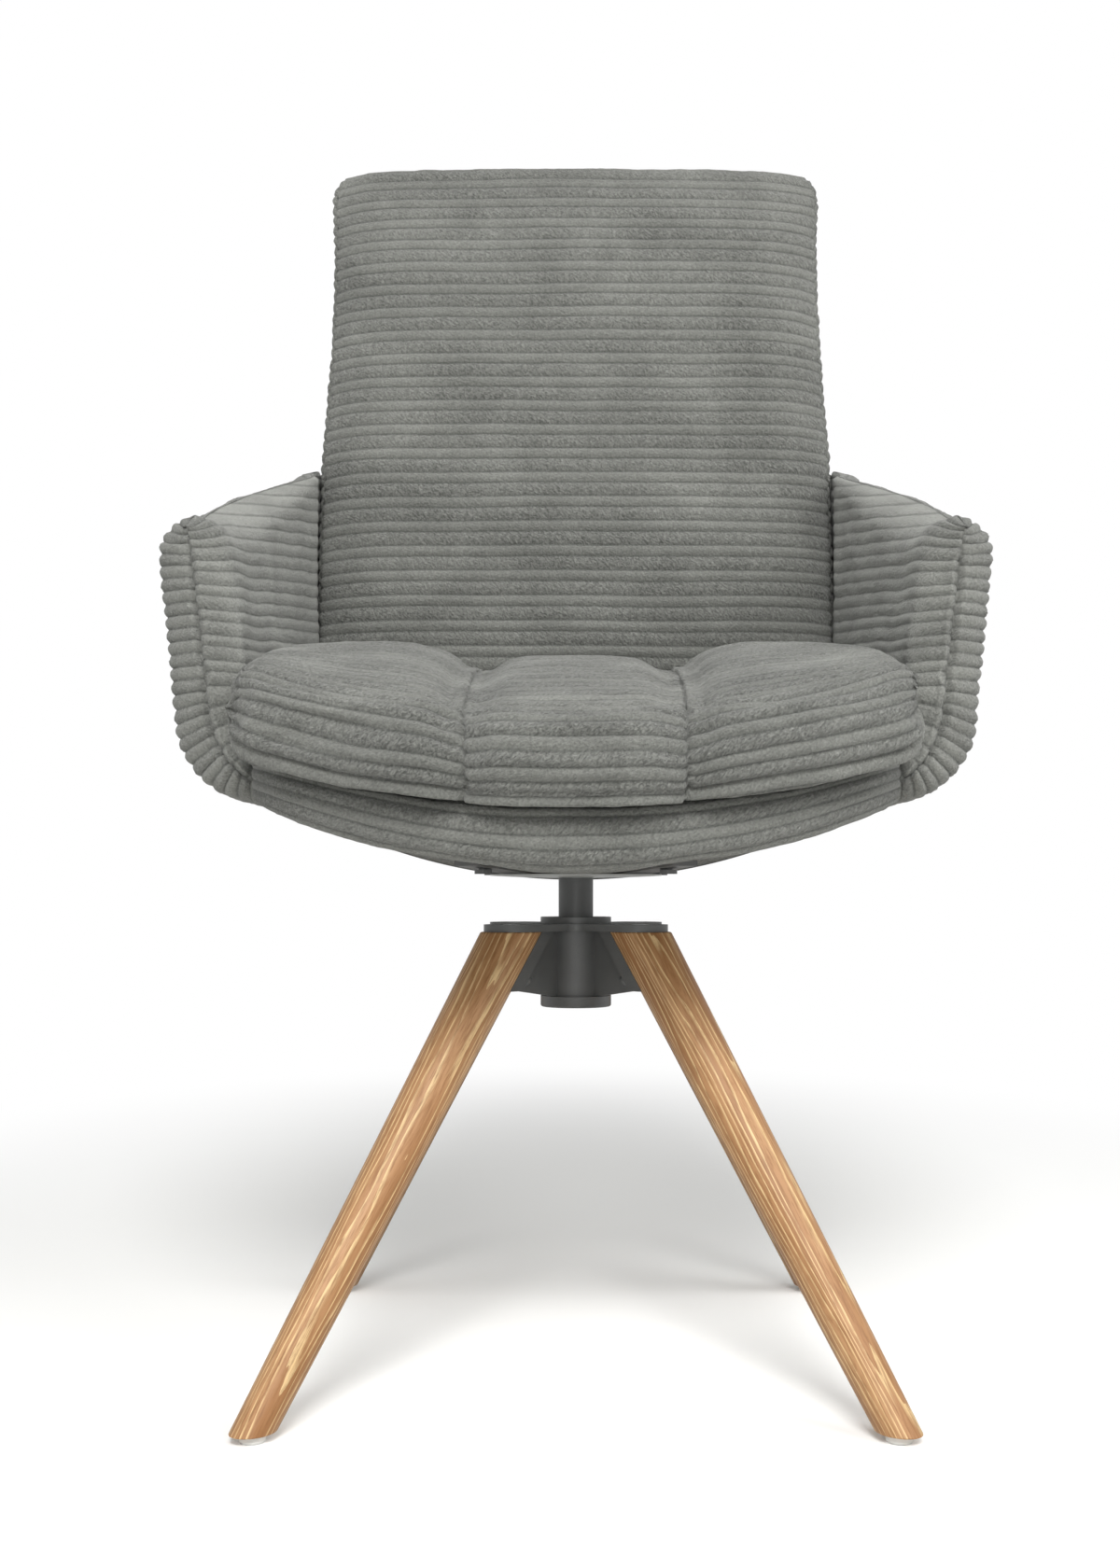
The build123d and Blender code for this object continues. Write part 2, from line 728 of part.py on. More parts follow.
# Arm frames: a bent steel tube in each arm, with tabs that screw down on the pan
for name, side in (("left", 1), ("right", -1)):
    with BuildPart() as arm_frame:
        hoop(side, 0, Mode.ADD)
        with Locations(*tab_screw_spots()):
            Cylinder(tab_screw_radius + bolt_gap, 2 * overrun, mode=Mode.SUBTRACT)
    finish(arm_frame, f"arm_frame_{name}")

with BuildPart() as arm_frame_screws:
    with Locations(*tab_screw_spots()):
        Cylinder(
            tab_screw_head_radius,
            tab_screw_head_height,
            align=(Align.CENTER, Align.CENTER, Align.MIN),
        )
        Cylinder(
            tab_screw_radius,
            tab_screw_length,
            align=(Align.CENTER, Align.CENTER, Align.MAX),
        )
finish(arm_frame_screws, "arm_frame_screws")

# Back bracket: one wide steel strip that joins the pan to the back board
upright_rows = [bracket_first_screw + bracket_screw_pitch * row for row in range(3)]
with BuildPart() as back_bracket:
    with BuildSketch(Plane.YZ):
        bracket_profile(0)
    extrude(amount=bracket_half_width, both=True)
    with Locations(*bracket_foot_spots()):
        Cylinder(bracket_screw_radius + bolt_gap, overrun, mode=Mode.SUBTRACT)
    for up in upright_rows:
        with Locations(back_face):
            with Locations((-bracket_screw_x, up), (bracket_screw_x, up)):
                Cylinder(bracket_screw_radius + bolt_gap, 2 * overrun, mode=Mode.SUBTRACT)
finish(back_bracket, "back_bracket")

# Bracket screws: two up into the pan, six forward into the board
with BuildPart() as bracket_screws:
    with Locations(*bracket_foot_spots()):
        Cylinder(
            bracket_screw_head_radius,
            bracket_screw_head_height,
            align=(Align.CENTER, Align.CENTER, Align.MAX),
        )
        Cylinder(
            bracket_screw_radius,
            bracket_screw_length,
            align=(Align.CENTER, Align.CENTER, Align.MIN),
        )
    screw_seat = board_thickness + soft_gap + bracket_thickness + bolt_gap
    for up in upright_rows:
        with Locations(back_face.offset(-screw_seat)):
            with Locations((-bracket_screw_x, up), (bracket_screw_x, up)):
                Cylinder(
                    bracket_screw_head_radius,
                    bracket_screw_head_height,
                    align=(Align.CENTER, Align.CENTER, Align.MAX),
                )
                Cylinder(
                    bracket_screw_radius,
                    bracket_screw_length,
                    align=(Align.CENTER, Align.CENTER, Align.MIN),
                )
finish(bracket_screws, "bracket_screws")

# Pan: moulded plywood that carries the cushion and takes every seat fixing
with BuildPart() as seat_pan:
    with BuildSketch(Plane.XZ.offset(pan_front_reach)):
        bowl_slab(
            pan_half_width,
            bucket_under_z + pan_offset + soft_gap,
            bucket_side_rise,
            bucket_under_z + pan_offset + pan_thickness,
            bucket_side_rise,
        )
    extrude(amount=-(pan_front_reach - pan_rear_reach))
    with BuildSketch(Plane.XY.offset(bucket_under_z)):
        Circle(spider_boss_radius + pocket_gap)
    extrude(amount=pan_offset + pan_thickness + overrun, mode=Mode.SUBTRACT)
    for azimuth in azimuths:
        with Locations(radial(azimuth, spider_bolt_reach, tee_flange_z)):
            Cylinder(tee_nut_barrel_radius + bolt_gap, 2 * overrun, mode=Mode.SUBTRACT)
    with Locations(*tab_screw_spots()):
        Cylinder(tab_screw_radius + bolt_gap, 2 * tab_screw_length, mode=Mode.SUBTRACT)
    with Locations(*bracket_foot_spots()):
        Cylinder(bracket_screw_radius + bolt_gap, 2 * bracket_screw_length, mode=Mode.SUBTRACT)
finish(seat_pan, "seat_pan")

# Bucket pad: upholstered foam under and round the pan, with a bowed and rounded front lip
with BuildPart() as bucket_pad:
    with BuildSketch(Plane.XZ.offset(bucket_front_reach)):
        bowl_slab(
            bucket_half_width, bucket_under_z, bucket_side_rise, bucket_top_z, bucket_top_rise
        )
    extrude(amount=-(bucket_front_reach - bucket_rear_reach))
    corner_y = -between(bucket_corner_reach, bucket_front_reach, lip_corner_reach_share)
    corner_x = bucket_half_width * lip_corner_width_share
    with BuildSketch(Plane.XY.offset(bucket_under_z)) as plan:
        with BuildLine():
            ThreePointArc((-corner_x, corner_y), (0, -bucket_front_reach), (corner_x, corner_y))
            Polyline(
                (corner_x, corner_y),
                (bucket_half_width, -bucket_corner_reach),
                (bucket_half_width, -bucket_rear_reach),
                (-bucket_half_width, -bucket_rear_reach),
                (-bucket_half_width, -bucket_corner_reach),
                (-corner_x, corner_y),
            )
        make_face()
        lip_corners = plan.vertices().filter_by(lambda vertex: abs(vertex.Y - corner_y) < soft_gap)
        fillet(lip_corners, bucket_corner_round)
    extrude(amount=bucket_top_z + bucket_top_rise - bucket_under_z + overrun, mode=Mode.INTERSECT)
    lip_edges = bucket_pad.edges().filter_by(
        lambda edge: edge.center().Y < -bucket_corner_reach and edge.geom_type != GeomType.LINE
    )
    fillet(lip_edges, bucket_lip_round)
    split(bisect_by=back_face, keep=Keep.TOP)
    with BuildSketch(Plane.XZ.offset(pan_front_reach + soft_gap)):
        bowl_slab(
            pan_half_width + soft_gap,
            bucket_under_z + pan_offset,
            bucket_side_rise,
            bucket_top_z + overrun,
            bucket_top_rise,
        )
    extrude(amount=-(pan_front_reach - pan_rear_reach + 2 * soft_gap), mode=Mode.SUBTRACT)
    with BuildSketch(Plane.YZ):
        bracket_profile(soft_gap)
    extrude(amount=bracket_half_width + soft_gap, both=True, mode=Mode.SUBTRACT)
    with Locations(*bracket_foot_spots()):
        Cylinder(bracket_screw_head_radius + bolt_gap, overrun, mode=Mode.SUBTRACT)
    for side in (1, -1):
        hoop(side, soft_gap, Mode.SUBTRACT)
    with BuildSketch(Plane.XY.offset(bucket_under_z - overrun)):
        with PolarLocations(spider_tip_reach / 2, legs_count, start_angle=first_leg_azimuth):
            Rectangle(spider_tip_reach + 2 * pocket_gap, spider_arm_width + 2 * pocket_gap)
        Circle(spider_boss_radius + pocket_gap)
    extrude(amount=overrun + pan_offset + pan_thickness, mode=Mode.SUBTRACT)
    with BuildSketch(Plane.XY.offset(bucket_under_z - overrun)):
        Circle(cover_radius + pocket_gap)
    extrude(amount=overrun + spider_z - bucket_under_z, mode=Mode.SUBTRACT)
finish(bucket_pad, "bucket_pad")

# Seat foam: a plain layer over the pan, up to the cushion
with BuildPart() as seat_foam:
    with BuildSketch(Plane.XZ.offset(pan_front_reach)):
        bowl_slab(
            pan_half_width,
            bucket_under_z + pan_offset + pan_thickness + soft_gap,
            bucket_side_rise,
            bucket_top_z,
            bucket_top_rise,
        )
    extrude(amount=-(pan_front_reach - pan_rear_reach))
    for azimuth in azimuths:
        with Locations(radial(azimuth, spider_bolt_reach, tee_flange_z)):
            Cylinder(
                tee_nut_flange_radius + soft_gap,
                2 * (tee_nut_flange_height + soft_gap),
                mode=Mode.SUBTRACT,
            )
            Cylinder(spider_bolt_radius + soft_gap, 2 * spider_bolt_spare, mode=Mode.SUBTRACT)
    for side in (1, -1):
        hoop(side, soft_gap, Mode.SUBTRACT)
    with Locations(*tab_screw_spots()):
        Cylinder(
            tab_screw_head_radius + soft_gap,
            2 * (tab_screw_head_height + soft_gap),
            mode=Mode.SUBTRACT,
        )
        Cylinder(tab_screw_radius + soft_gap, 2 * tab_screw_length, mode=Mode.SUBTRACT)
finish(seat_foam, "seat_foam")


def arm_slice(rise_share, in_share, full_share, tall_share):
    """One upright slice of the left arm, on the bucket's flat side. Call it inside BuildSketch."""
    inner = between(arm_inner_front, arm_inner_rear, in_share)
    outer = between(arm_outer_front, arm_outer_rear, in_share)
    low_inner = arm_low_inner
    low_outer = between(arm_low_outer_front, arm_low_outer_rear, in_share)
    middle, low_middle = (inner + outer) / 2, (low_inner + low_outer) / 2
    inner, outer = between(middle, inner, full_share), between(middle, outer, full_share)
    low_inner = between(low_middle, low_inner, full_share)
    low_outer = between(low_middle, low_outer, full_share)
    top = between(arm_front_top_z, arm_rear_top_z, rise_share)
    top = between(arm_low_z, top, tall_share)
    shoulder = top - (outer - inner) / 2
    join_under = bowl(bucket_half_width, bucket_under_z, bucket_side_rise)
    join_top = bowl(bucket_half_width, bucket_top_z, bucket_top_rise)
    join_middle = (join_under + join_top) / 2
    join_under = between(join_middle, join_under, full_share)
    join_top = between(join_middle, join_top, full_share)
    corner_x = between(bucket_half_width + soft_gap, low_outer, arm_corner_out_share)
    corner_z = between(join_under, arm_low_z, arm_corner_up_share)
    join_x = bucket_half_width + soft_gap
    with BuildLine(mode=Mode.PRIVATE) as arm_outline:
        ThreePointArc((join_x, join_under), (corner_x, corner_z), (low_outer, arm_low_z))
        Line((low_outer, arm_low_z), (outer, shoulder))
        ThreePointArc((outer, shoulder), ((inner + outer) / 2, top), (inner, shoulder))
        Line((inner, shoulder), (low_inner, arm_low_z))
        Line((low_inner, arm_low_z), (join_x, join_top))
        Line((join_x, join_top), (join_x, join_under))
    make_face(arm_outline.edges())


with BuildPart() as arm_pad_left:
    arm_length = arm_front_reach - arm_rear_reach
    for back_share, *row in arm_shares:
        with BuildSketch(Plane.XZ.offset(arm_front_reach - arm_length * back_share)):
            arm_slice(*row)
    loft(ruled=True)
    split(bisect_by=back_face, keep=Keep.TOP)
    hoop(1, soft_gap, Mode.SUBTRACT)
finish(arm_pad_left, "arm_pad_left")

with BuildPart() as arm_pad_right:
    mirror(arm_pad_left.part, about=Plane.YZ)
finish(arm_pad_right, "arm_pad_right")

# Back board: plywood set into the outer pad, flush with the back plane
with BuildPart() as back_board:
    with BuildSketch(back_face):
        with Locations((0, (board_bottom + board_top) / 2)):
            RectangleRounded(2 * board_half_width, board_top - board_bottom, board_corner)
    extrude(amount=-board_thickness)
    for up in upright_rows:
        with Locations(back_face):
            with Locations((-bracket_screw_x, up), (bracket_screw_x, up)):
                Cylinder(bracket_screw_radius + bolt_gap, 2 * overrun, mode=Mode.SUBTRACT)
finish(back_board, "back_board")

# Outer back pad: the shell behind the board, wide low down where it takes over from the arms
with BuildPart() as outer_back_pad:
    join_up = to_up(bowl(bucket_half_width, bucket_under_z, bucket_side_rise))
    low_up, shoulder_up = to_up(arm_low_z), to_up(arm_rear_top_z)
    corner_x = between(bucket_half_width, arm_outer_rear, arm_corner_out_share)
    corner_up = between(join_up, low_up, arm_corner_up_share)
    shoulder_drop = arm_outer_rear - outer_pad_half_width
    with BuildSketch(back_face.offset(-soft_gap)) as pad_outline:
        with BuildLine():
            ThreePointArc(
                (-bucket_half_width, join_up), (0, to_up(bucket_under_z)), (bucket_half_width, join_up)
            )
            for side in (1, -1):
                ThreePointArc(
                    (side * bucket_half_width, join_up),
                    (side * corner_x, corner_up),
                    (side * arm_outer_rear, low_up),
                )
                Polyline(
                    (side * arm_outer_rear, low_up),
                    (side * arm_outer_rear, shoulder_up - shoulder_drop),
                    (side * outer_pad_half_width, shoulder_up),
                    (side * outer_pad_half_width, outer_pad_top),
                    (0, outer_pad_top),
                )
        make_face()
        corners = pad_outline.vertices().filter_by(lambda v: v.Y > low_up + outer_pad_round)
        top_corners = corners.filter_by(lambda v: v.Y > outer_pad_top - outer_pad_round and v.X != 0)
        top_corners = top_corners.filter_by(lambda v: abs(v.X) > outer_pad_round)
        fillet(top_corners, outer_pad_top_round)
    extrude(amount=-(outer_pad_thickness - soft_gap))
    rear_face = outer_back_pad.faces().sort_by(Axis(back_point(0, 0), back_face.z_dir))[0]
    fillet(rear_face.edges(), outer_pad_round)
    with BuildSketch(back_face):
        with Locations((0, (board_bottom + board_top) / 2)):
            RectangleRounded(
                2 * (board_half_width + soft_gap),
                board_top - board_bottom + 2 * soft_gap,
                board_corner + soft_gap,
            )
    extrude(amount=-(board_thickness + soft_gap), mode=Mode.SUBTRACT)
    with BuildSketch(Plane.YZ):
        bracket_profile(soft_gap)
    extrude(amount=bracket_half_width + soft_gap, both=True, mode=Mode.SUBTRACT)
    head_depth = bracket_screw_head_height + bolt_gap + soft_gap
    for up in upright_rows:
        with Locations(back_face.offset(-(screw_seat + head_depth))):
            with Locations((-bracket_screw_x, up), (bracket_screw_x, up)):
                Cylinder(
                    bracket_screw_head_radius + soft_gap,
                    head_depth + bracket_thickness,
                    align=(Align.CENTER, Align.CENTER, Align.MIN),
                    mode=Mode.SUBTRACT,
                )
finish(outer_back_pad, "outer_back_pad")

# Back cushion: crowned to the front, thinner at its piped side edges, with a bowed top
with BuildPart() as back_cushion:
    wide = back_cushion_half_width + soft_gap
    for n in range(back_slices + 1):
        up_share = n / back_slices
        full_share = between(1, back_end_share, abs(2 * up_share - 1) ** back_fall_power)
        edge = back_cushion_edge * full_share
        crown = back_cushion_thickness * full_share
        low, high = back_cushion_bottom - soft_gap, back_cushion_top + soft_gap
        with BuildSketch(back_level(between(low, high, up_share))):
            with BuildLine():
                Polyline((-wide, -edge), (-wide, -soft_gap), (wide, -soft_gap), (wide, -edge))
                ThreePointArc((wide, -edge), (0, -crown), (-wide, -edge))
            make_face()
    loft(ruled=True)
    wide = back_cushion_half_width
    side_top = back_cushion_top - back_cushion_top_bow
    with BuildSketch(back_face.offset(-overrun)) as cushion_outline:
        with BuildLine():
            Polyline(
                (-wide, side_top),
                (-wide, back_cushion_bottom),
                (wide, back_cushion_bottom),
                (wide, side_top),
            )
            ThreePointArc((wide, side_top), (0, back_cushion_top), (-wide, side_top))
        make_face()
        fillet(cushion_outline.vertices(), back_cushion_corner)
    extrude(amount=back_cushion_thickness + 2 * overrun, mode=Mode.INTERSECT)
finish(back_cushion, "back_cushion")

# Seat cushion: three crowned pads with two sewn channels between them, bowed in plan
with BuildPart() as seat_cushion:
    for n in range(-seat_slices // 2, seat_slices // 2 + 1):
        out_share = abs(2 * n / seat_slices)
        sewn = exp(-(((out_share - channel_share) / channel_width_share) ** 2))
        raised = (out_share - outer_crown_start_share) / (
            outer_crown_full_share - outer_crown_start_share
        )
        raised = min(max(raised, 0), 1)
        rolled = max((out_share - 1) / end_round_share + 1, 0)
        plump = between(end_plump_share, 1, (1 - rolled**2) ** 0.5)
        bow = (cushion_front_reach - cushion_end_reach) * out_share**2
        front_y = bow - cushion_front_reach + cushion_channel_pull * sewn
        front_y = front_y + cushion_foot_inset * (1 - plump)
        sink = cushion_channel_depth * sewn
        crown_z = cushion_crown_z + cushion_outer_crown_rise * raised - sink
        foot_z = cushion_bottom_z + cushion_bottom_rise * out_share**2
        heights = [foot_z, cushion_nose_z - sink / 2, crown_z, cushion_rear_z - sink]
        foot_z, nose_z, crown_z, rear_z = [between(cushion_pinch_z, z, plump) for z in heights]
        front_z = (foot_z + nose_z) / 2
        nose_y = front_y + cushion_front_reach - cushion_nose_reach
        with BuildSketch(Plane.YZ.offset(cushion_half_width * 2 * n / seat_slices)):
            with BuildLine():
                ThreePointArc((front_y + cushion_foot_inset, foot_z), (front_y, front_z), (nose_y, nose_z))
                ThreePointArc((nose_y, nose_z), (-cushion_mid_reach, crown_z), (-cushion_rear_reach, rear_z))
                Line((-cushion_rear_reach, rear_z), (-cushion_rear_reach, foot_z))
                Line((-cushion_rear_reach, foot_z), (front_y + cushion_foot_inset, foot_z))
            make_face()
    loft(ruled=True)
    with BuildSketch(Plane.XZ.offset(bucket_front_reach)):
        bowl_slab(
            bucket_half_width + overrun,
            bucket_under_z - overrun,
            bucket_side_rise,
            bucket_top_z + soft_gap,
            bucket_top_rise,
        )
    extrude(amount=-(bucket_front_reach - bucket_rear_reach), mode=Mode.SUBTRACT)
finish(seat_cushion, "seat_cushion")

print("Wrote", len(pieces), "pieces")
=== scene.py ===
# %% [markdown]
# A swivel armchair in wide-rib corduroy on four splayed oak legs.
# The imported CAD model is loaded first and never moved: it is the frame that every
# new piece is built on. What follows dresses it, one piece and one finish at a time.

# %% Load the frame
import json
import math

import bpy
import numpy as np
from mathutils import Matrix, Vector


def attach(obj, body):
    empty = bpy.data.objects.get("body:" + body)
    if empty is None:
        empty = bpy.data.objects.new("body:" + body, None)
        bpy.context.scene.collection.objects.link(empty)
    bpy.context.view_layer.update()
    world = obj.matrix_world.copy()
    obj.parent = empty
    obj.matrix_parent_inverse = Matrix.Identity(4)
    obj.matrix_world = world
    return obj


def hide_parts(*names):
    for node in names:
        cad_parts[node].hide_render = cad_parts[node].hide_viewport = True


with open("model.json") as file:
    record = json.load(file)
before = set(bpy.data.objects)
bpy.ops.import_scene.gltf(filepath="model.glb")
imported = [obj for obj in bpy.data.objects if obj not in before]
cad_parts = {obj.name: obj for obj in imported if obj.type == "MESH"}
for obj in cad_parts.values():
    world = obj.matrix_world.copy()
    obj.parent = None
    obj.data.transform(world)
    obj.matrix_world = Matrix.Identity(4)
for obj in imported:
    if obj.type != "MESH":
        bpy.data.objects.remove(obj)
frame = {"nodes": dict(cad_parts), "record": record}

scene = bpy.context.scene
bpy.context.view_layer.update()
mm = 0.001

# %% [markdown]
# The photograph is taken level, from a little below the seat, with the lens shifted up so
# that uprights stay upright. A camera in Blender does the same with shift_y, which is better
# here than tilting it, because tilting would make the legs and the back converge.

# %% Camera
photo_width = 1200
camera = bpy.data.cameras.new("camera")
camera.sensor_fit = "HORIZONTAL"
camera.sensor_width = 36.0
camera.lens = 55.5
camera.shift_x = -17 / photo_width
camera.shift_y = 110 / photo_width
camera_object = bpy.data.objects.new("camera", camera)
camera_object.location = (0.0, -1.25, 0.3384)
camera_object.rotation_euler = (math.radians(90), 0, 0)
scene.collection.objects.link(camera_object)
scene.camera = camera_object
scene.view_settings.view_transform = "Standard"
print("Camera at", tuple(round(v, 3) for v in camera_object.location))

# %% [markdown]
# The light is one large softbox in front, about 35 degrees up, which throws the seat's soft
# shadow on the floor behind the chair. Two weaker lamps at the sides, the right one the
# stronger, reach the inner faces of the arms, and one overhead picks out the upper side of
# every rib. A faint one low in front reaches in under the seat, to the hub and the tops of the
# legs. Their strengths are set so that a colour renders about as it is written.

# %% Lamps
def lamp(name, place, target, size, watts):
    """Adds a square area lamp that points from its place to its target."""
    data = bpy.data.lights.new(name, "AREA")
    data.size = size
    data.energy = watts
    thing = bpy.data.objects.new(name, data)
    thing.location = place
    aim = Vector(target) - Vector(place)
    thing.rotation_euler = aim.to_track_quat("-Z", "Y").to_euler()
    scene.collection.objects.link(thing)


lamp("softbox", (0.03, -2.6, 2.2), (0, 0, 0.4), 1.1, 67)
lamp("side_left", (-2.0, -1.3, 1.9), (0, 0, 0.45), 1.8, 13)
lamp("side_right", (2.0, -1.3, 1.9), (0, 0, 0.45), 1.8, 36)
lamp("overhead", (0, -0.3, 2.9), (0, 0, 0.4), 1.8, 9)
lamp("low_front", (0, -2.4, 0.3), (0, 0, 0.3), 0.9, 11)

# %% [markdown]
# A material is a small network of nodes. Colours are written as sRGB hex codes, as on a paint
# chart, and one function turns them into the linear numbers that a shader takes. One more
# function adds a node with its settings and its links, so that each material below
# reads as a list of what it is made of.

# %% Colour and node helpers
def colour(code):
    """An sRGB hex colour as linear numbers."""
    parts = [int(code[n:n + 2], 16) / 255 for n in (1, 3, 5)]
    return [p / 12.92 if p <= 0.04045 else ((p + 0.055) / 1.055) ** 2.4 for p in parts] + [1.0]


def add(tree, kind, inputs=(), **settings):
    """Adds a node and sets it up. Inputs go by name, or in a list from the first one on. Each is
    a value, an output to link, or a node, which stands for its first output in use."""
    node = tree.nodes.new("ShaderNode" + kind)
    for name, value in settings.items():
        setattr(node, name, value)
    for name, value in inputs.items() if isinstance(inputs, dict) else enumerate(inputs):
        if isinstance(value, bpy.types.Node):
            value = next(output for output in value.outputs if output.enabled)
        if isinstance(value, bpy.types.NodeSocket):
            tree.links.new(value, node.inputs[name])
        else:
            node.inputs[name].default_value = value
    return node


def new_material(name):
    """An empty material and its node tree."""
    material = bpy.data.materials.new(name)
    material.use_nodes = True
    material.node_tree.nodes.clear()
    return material, material.node_tree


print("Mid grey #808080 is", round(colour("#808080")[0], 3), "in linear light")

# %% [markdown]
# The backdrop is white only where the camera, a gloss or a clear piece looks at it. The light
# that it throws on the chair is a plain grey, so the backdrop can be pure white without
# washing the colours out.

# %% World
def direct_look(tree):
    """1 for a ray from the camera, off a gloss or through something clear, else 0."""
    ray = add(tree, "LightPath")
    seen = ray.outputs["Is Camera Ray"]
    for other in ("Is Glossy Ray", "Is Transmission Ray"):
        seen = add(tree, "Math", [seen, ray.outputs[other]], operation="MAXIMUM")
    return seen


white = colour("#ffffff")
world = bpy.data.worlds.new("studio")
scene.world = world
world.use_nodes = True
tree = world.node_tree
tree.nodes.clear()
fill = add(tree, "Background", [white, 0.25])
backdrop = add(tree, "Background", [white, 1.0])
mix = add(tree, "MixShader", [direct_look(tree), fill, backdrop])
add(tree, "OutputWorld", {"Surface": mix})
print("World:", len(tree.nodes), "nodes")

# %% [markdown]
# The floor is a pale matt sweep. It keeps the chair's soft shadow near the feet and fades to
# plain white further out, by a mask on its own coordinates, so no edge or horizon shows.

# %% Floor
bpy.ops.object.select_all(action="DESELECT")
bpy.ops.mesh.primitive_plane_add(size=24, location=(0, 0, 0))
floor = bpy.context.object
floor.name = "floor"
pale, tree = new_material("painted_studio_floor")
place = add(tree, "TexCoord").outputs["Object"]
oval = add(tree, "Mapping", {"Vector": place, "Scale": (1.8, 1.0, 1.0)})
far = add(tree, "VectorMath", [oval], operation="LENGTH")
fade = add(tree, "MapRange", [far, 0.72, 2.1], interpolation_type="SMOOTHSTEP")
seen = direct_look(tree)
factor = add(tree, "Math", [fade, seen], operation="MULTIPLY")
speck = add(tree, "TexNoise", {"Vector": place, "Scale": 900.0})
bump = add(tree, "Bump", {"Height": speck, "Distance": 0.0001, "Strength": 0.2})
matt = add(tree, "BsdfDiffuse", {"Color": colour("#f3f3f1"), "Roughness": 0.9, "Normal": bump})
lift = add(tree, "Emission", [white, 0.02])
lifted = add(tree, "AddShader", [matt, lift])
near = add(tree, "MixShader", [seen, matt, lifted])
glow = add(tree, "Emission", [white, 1.0])
floor_mix = add(tree, "MixShader", [factor, near, glow])
add(tree, "OutputMaterial", {"Surface": floor_mix})
floor.data.materials.append(pale)
print("Floor:", len(tree.nodes), "nodes")

# %% [markdown]
# Wide-rib corduroy, a cotton pile cloth. It is woven flat with loops that are cut and brushed
# into ribs, here about 10 mm wide, so wide that they are real shape in the mesh. The
# material adds what is finer: the nap, which is thick and ruffled on every second rib and
# brushed smooth on the one between, painted shade between its tufts and painted highlights on
# their tips, a painted shade line in the valley between two ribs, the patches where a hand has
# stroked the pile, and the rubbed places, with painted light on the arms' inner faces. It reads
# the piece's own UV map, where one unit up is one rib.

# %% Corduroy
corduroy, tree = new_material("brushed_cotton_corduroy")
ribs_uv = add(tree, "UVMap", uv_map="ribs")
place = add(tree, "TexCoord").outputs["Object"]
rib_number = add(tree, "SeparateXYZ", [ribs_uv]).outputs["Y"]
# This share lightens the cloth where it is rubbed smooth, which is wear. On the arms' inner faces it is
# also painted light: lighter cloth that stands in for the light reaching them.
wear_and_painted_light = add(tree, "Attribute", attribute_name="wear_and_painted_light").outputs["Fac"]
in_rib = add(tree, "Math", [rib_number], operation="FRACT")
off_crown = add(tree, "Math", [in_rib, 0.5], operation="SUBTRACT")
off_crown = add(tree, "Math", [off_crown], operation="ABSOLUTE")
# Painted shade: the valley between two ribs is darkened in the colour, on top of the real valley in the
# mesh.
painted_groove_shade = add(tree, "MapRange", [off_crown, 0.34, 0.5], interpolation_type="SMOOTHSTEP")
in_pair = add(tree, "Math", [rib_number, 0.5], operation="MULTIPLY")
in_pair = add(tree, "Math", [in_pair], operation="FRACT")
ruffled = add(tree, "Math", [in_pair, 0.5], operation="GREATER_THAN")
print("Corduroy reads ribs and wear")

# %% [markdown]
# Nap is drawn as noise about 1 to 2 mm across, a little coarser than real pile so that it
# shows at this distance. Its strength differs between the ruffled and the smooth ribs, and it
# is nearly gone where the cloth is worn smooth.

# %% Corduroy nap
tuft_place = add(tree, "Mapping", {"Vector": ribs_uv, "Scale": (0.30, 0.15, 1.0),
                                   "Rotation": (0, 0, math.radians(38))}, vector_type="TEXTURE")
tufts = add(tree, "TexNoise", {"Vector": tuft_place, "Scale": 1.0, "Detail": 4.0, "Roughness": 0.6,
                               "Distortion": 0.9})
fluff = add(tree, "TexNoise", {"Vector": place, "Scale": 650.0, "Detail": 3.0})
patch = add(tree, "TexNoise", {"Vector": place, "Scale": 16.0, "Detail": 3.0, "Distortion": 0.8})
nap = add(tree, "MapRange", [ruffled, 0, 1, 0.48, 1.0])
keep_nap = add(tree, "MapRange", [wear_and_painted_light, 0, 1, 1.0, 0.35])
nap = add(tree, "Math", [nap, keep_nap], operation="MULTIPLY")
tuft_height = add(tree, "Math", [tufts, nap], operation="MULTIPLY")
height = add(tree, "Math", [fluff, 0.5, tuft_height], operation="MULTIPLY_ADD")
bump = add(tree, "Bump", {"Height": height, "Distance": 0.0026, "Strength": 1.0})
print("Nap drawn")

# %% Corduroy colour
tone = add(tree, "Mix", {0: ruffled, 6: colour("#797a75"), 7: colour("#7d7e79")}, data_type="RGBA")
# Painted shade darkens the low places between the tufts, and a painted highlight lightens the tips of the
# tufts. Both follow the nap's bump.
painted_tuft_shade = add(tree, "MapRange", [tufts, 0.34, 0.60, 0.75, 0.0], interpolation_type="SMOOTHSTEP")
painted_tuft_highlight = add(tree, "MapRange", [tufts, 0.55, 0.74, 0.0, 0.4], interpolation_type="SMOOTHSTEP")
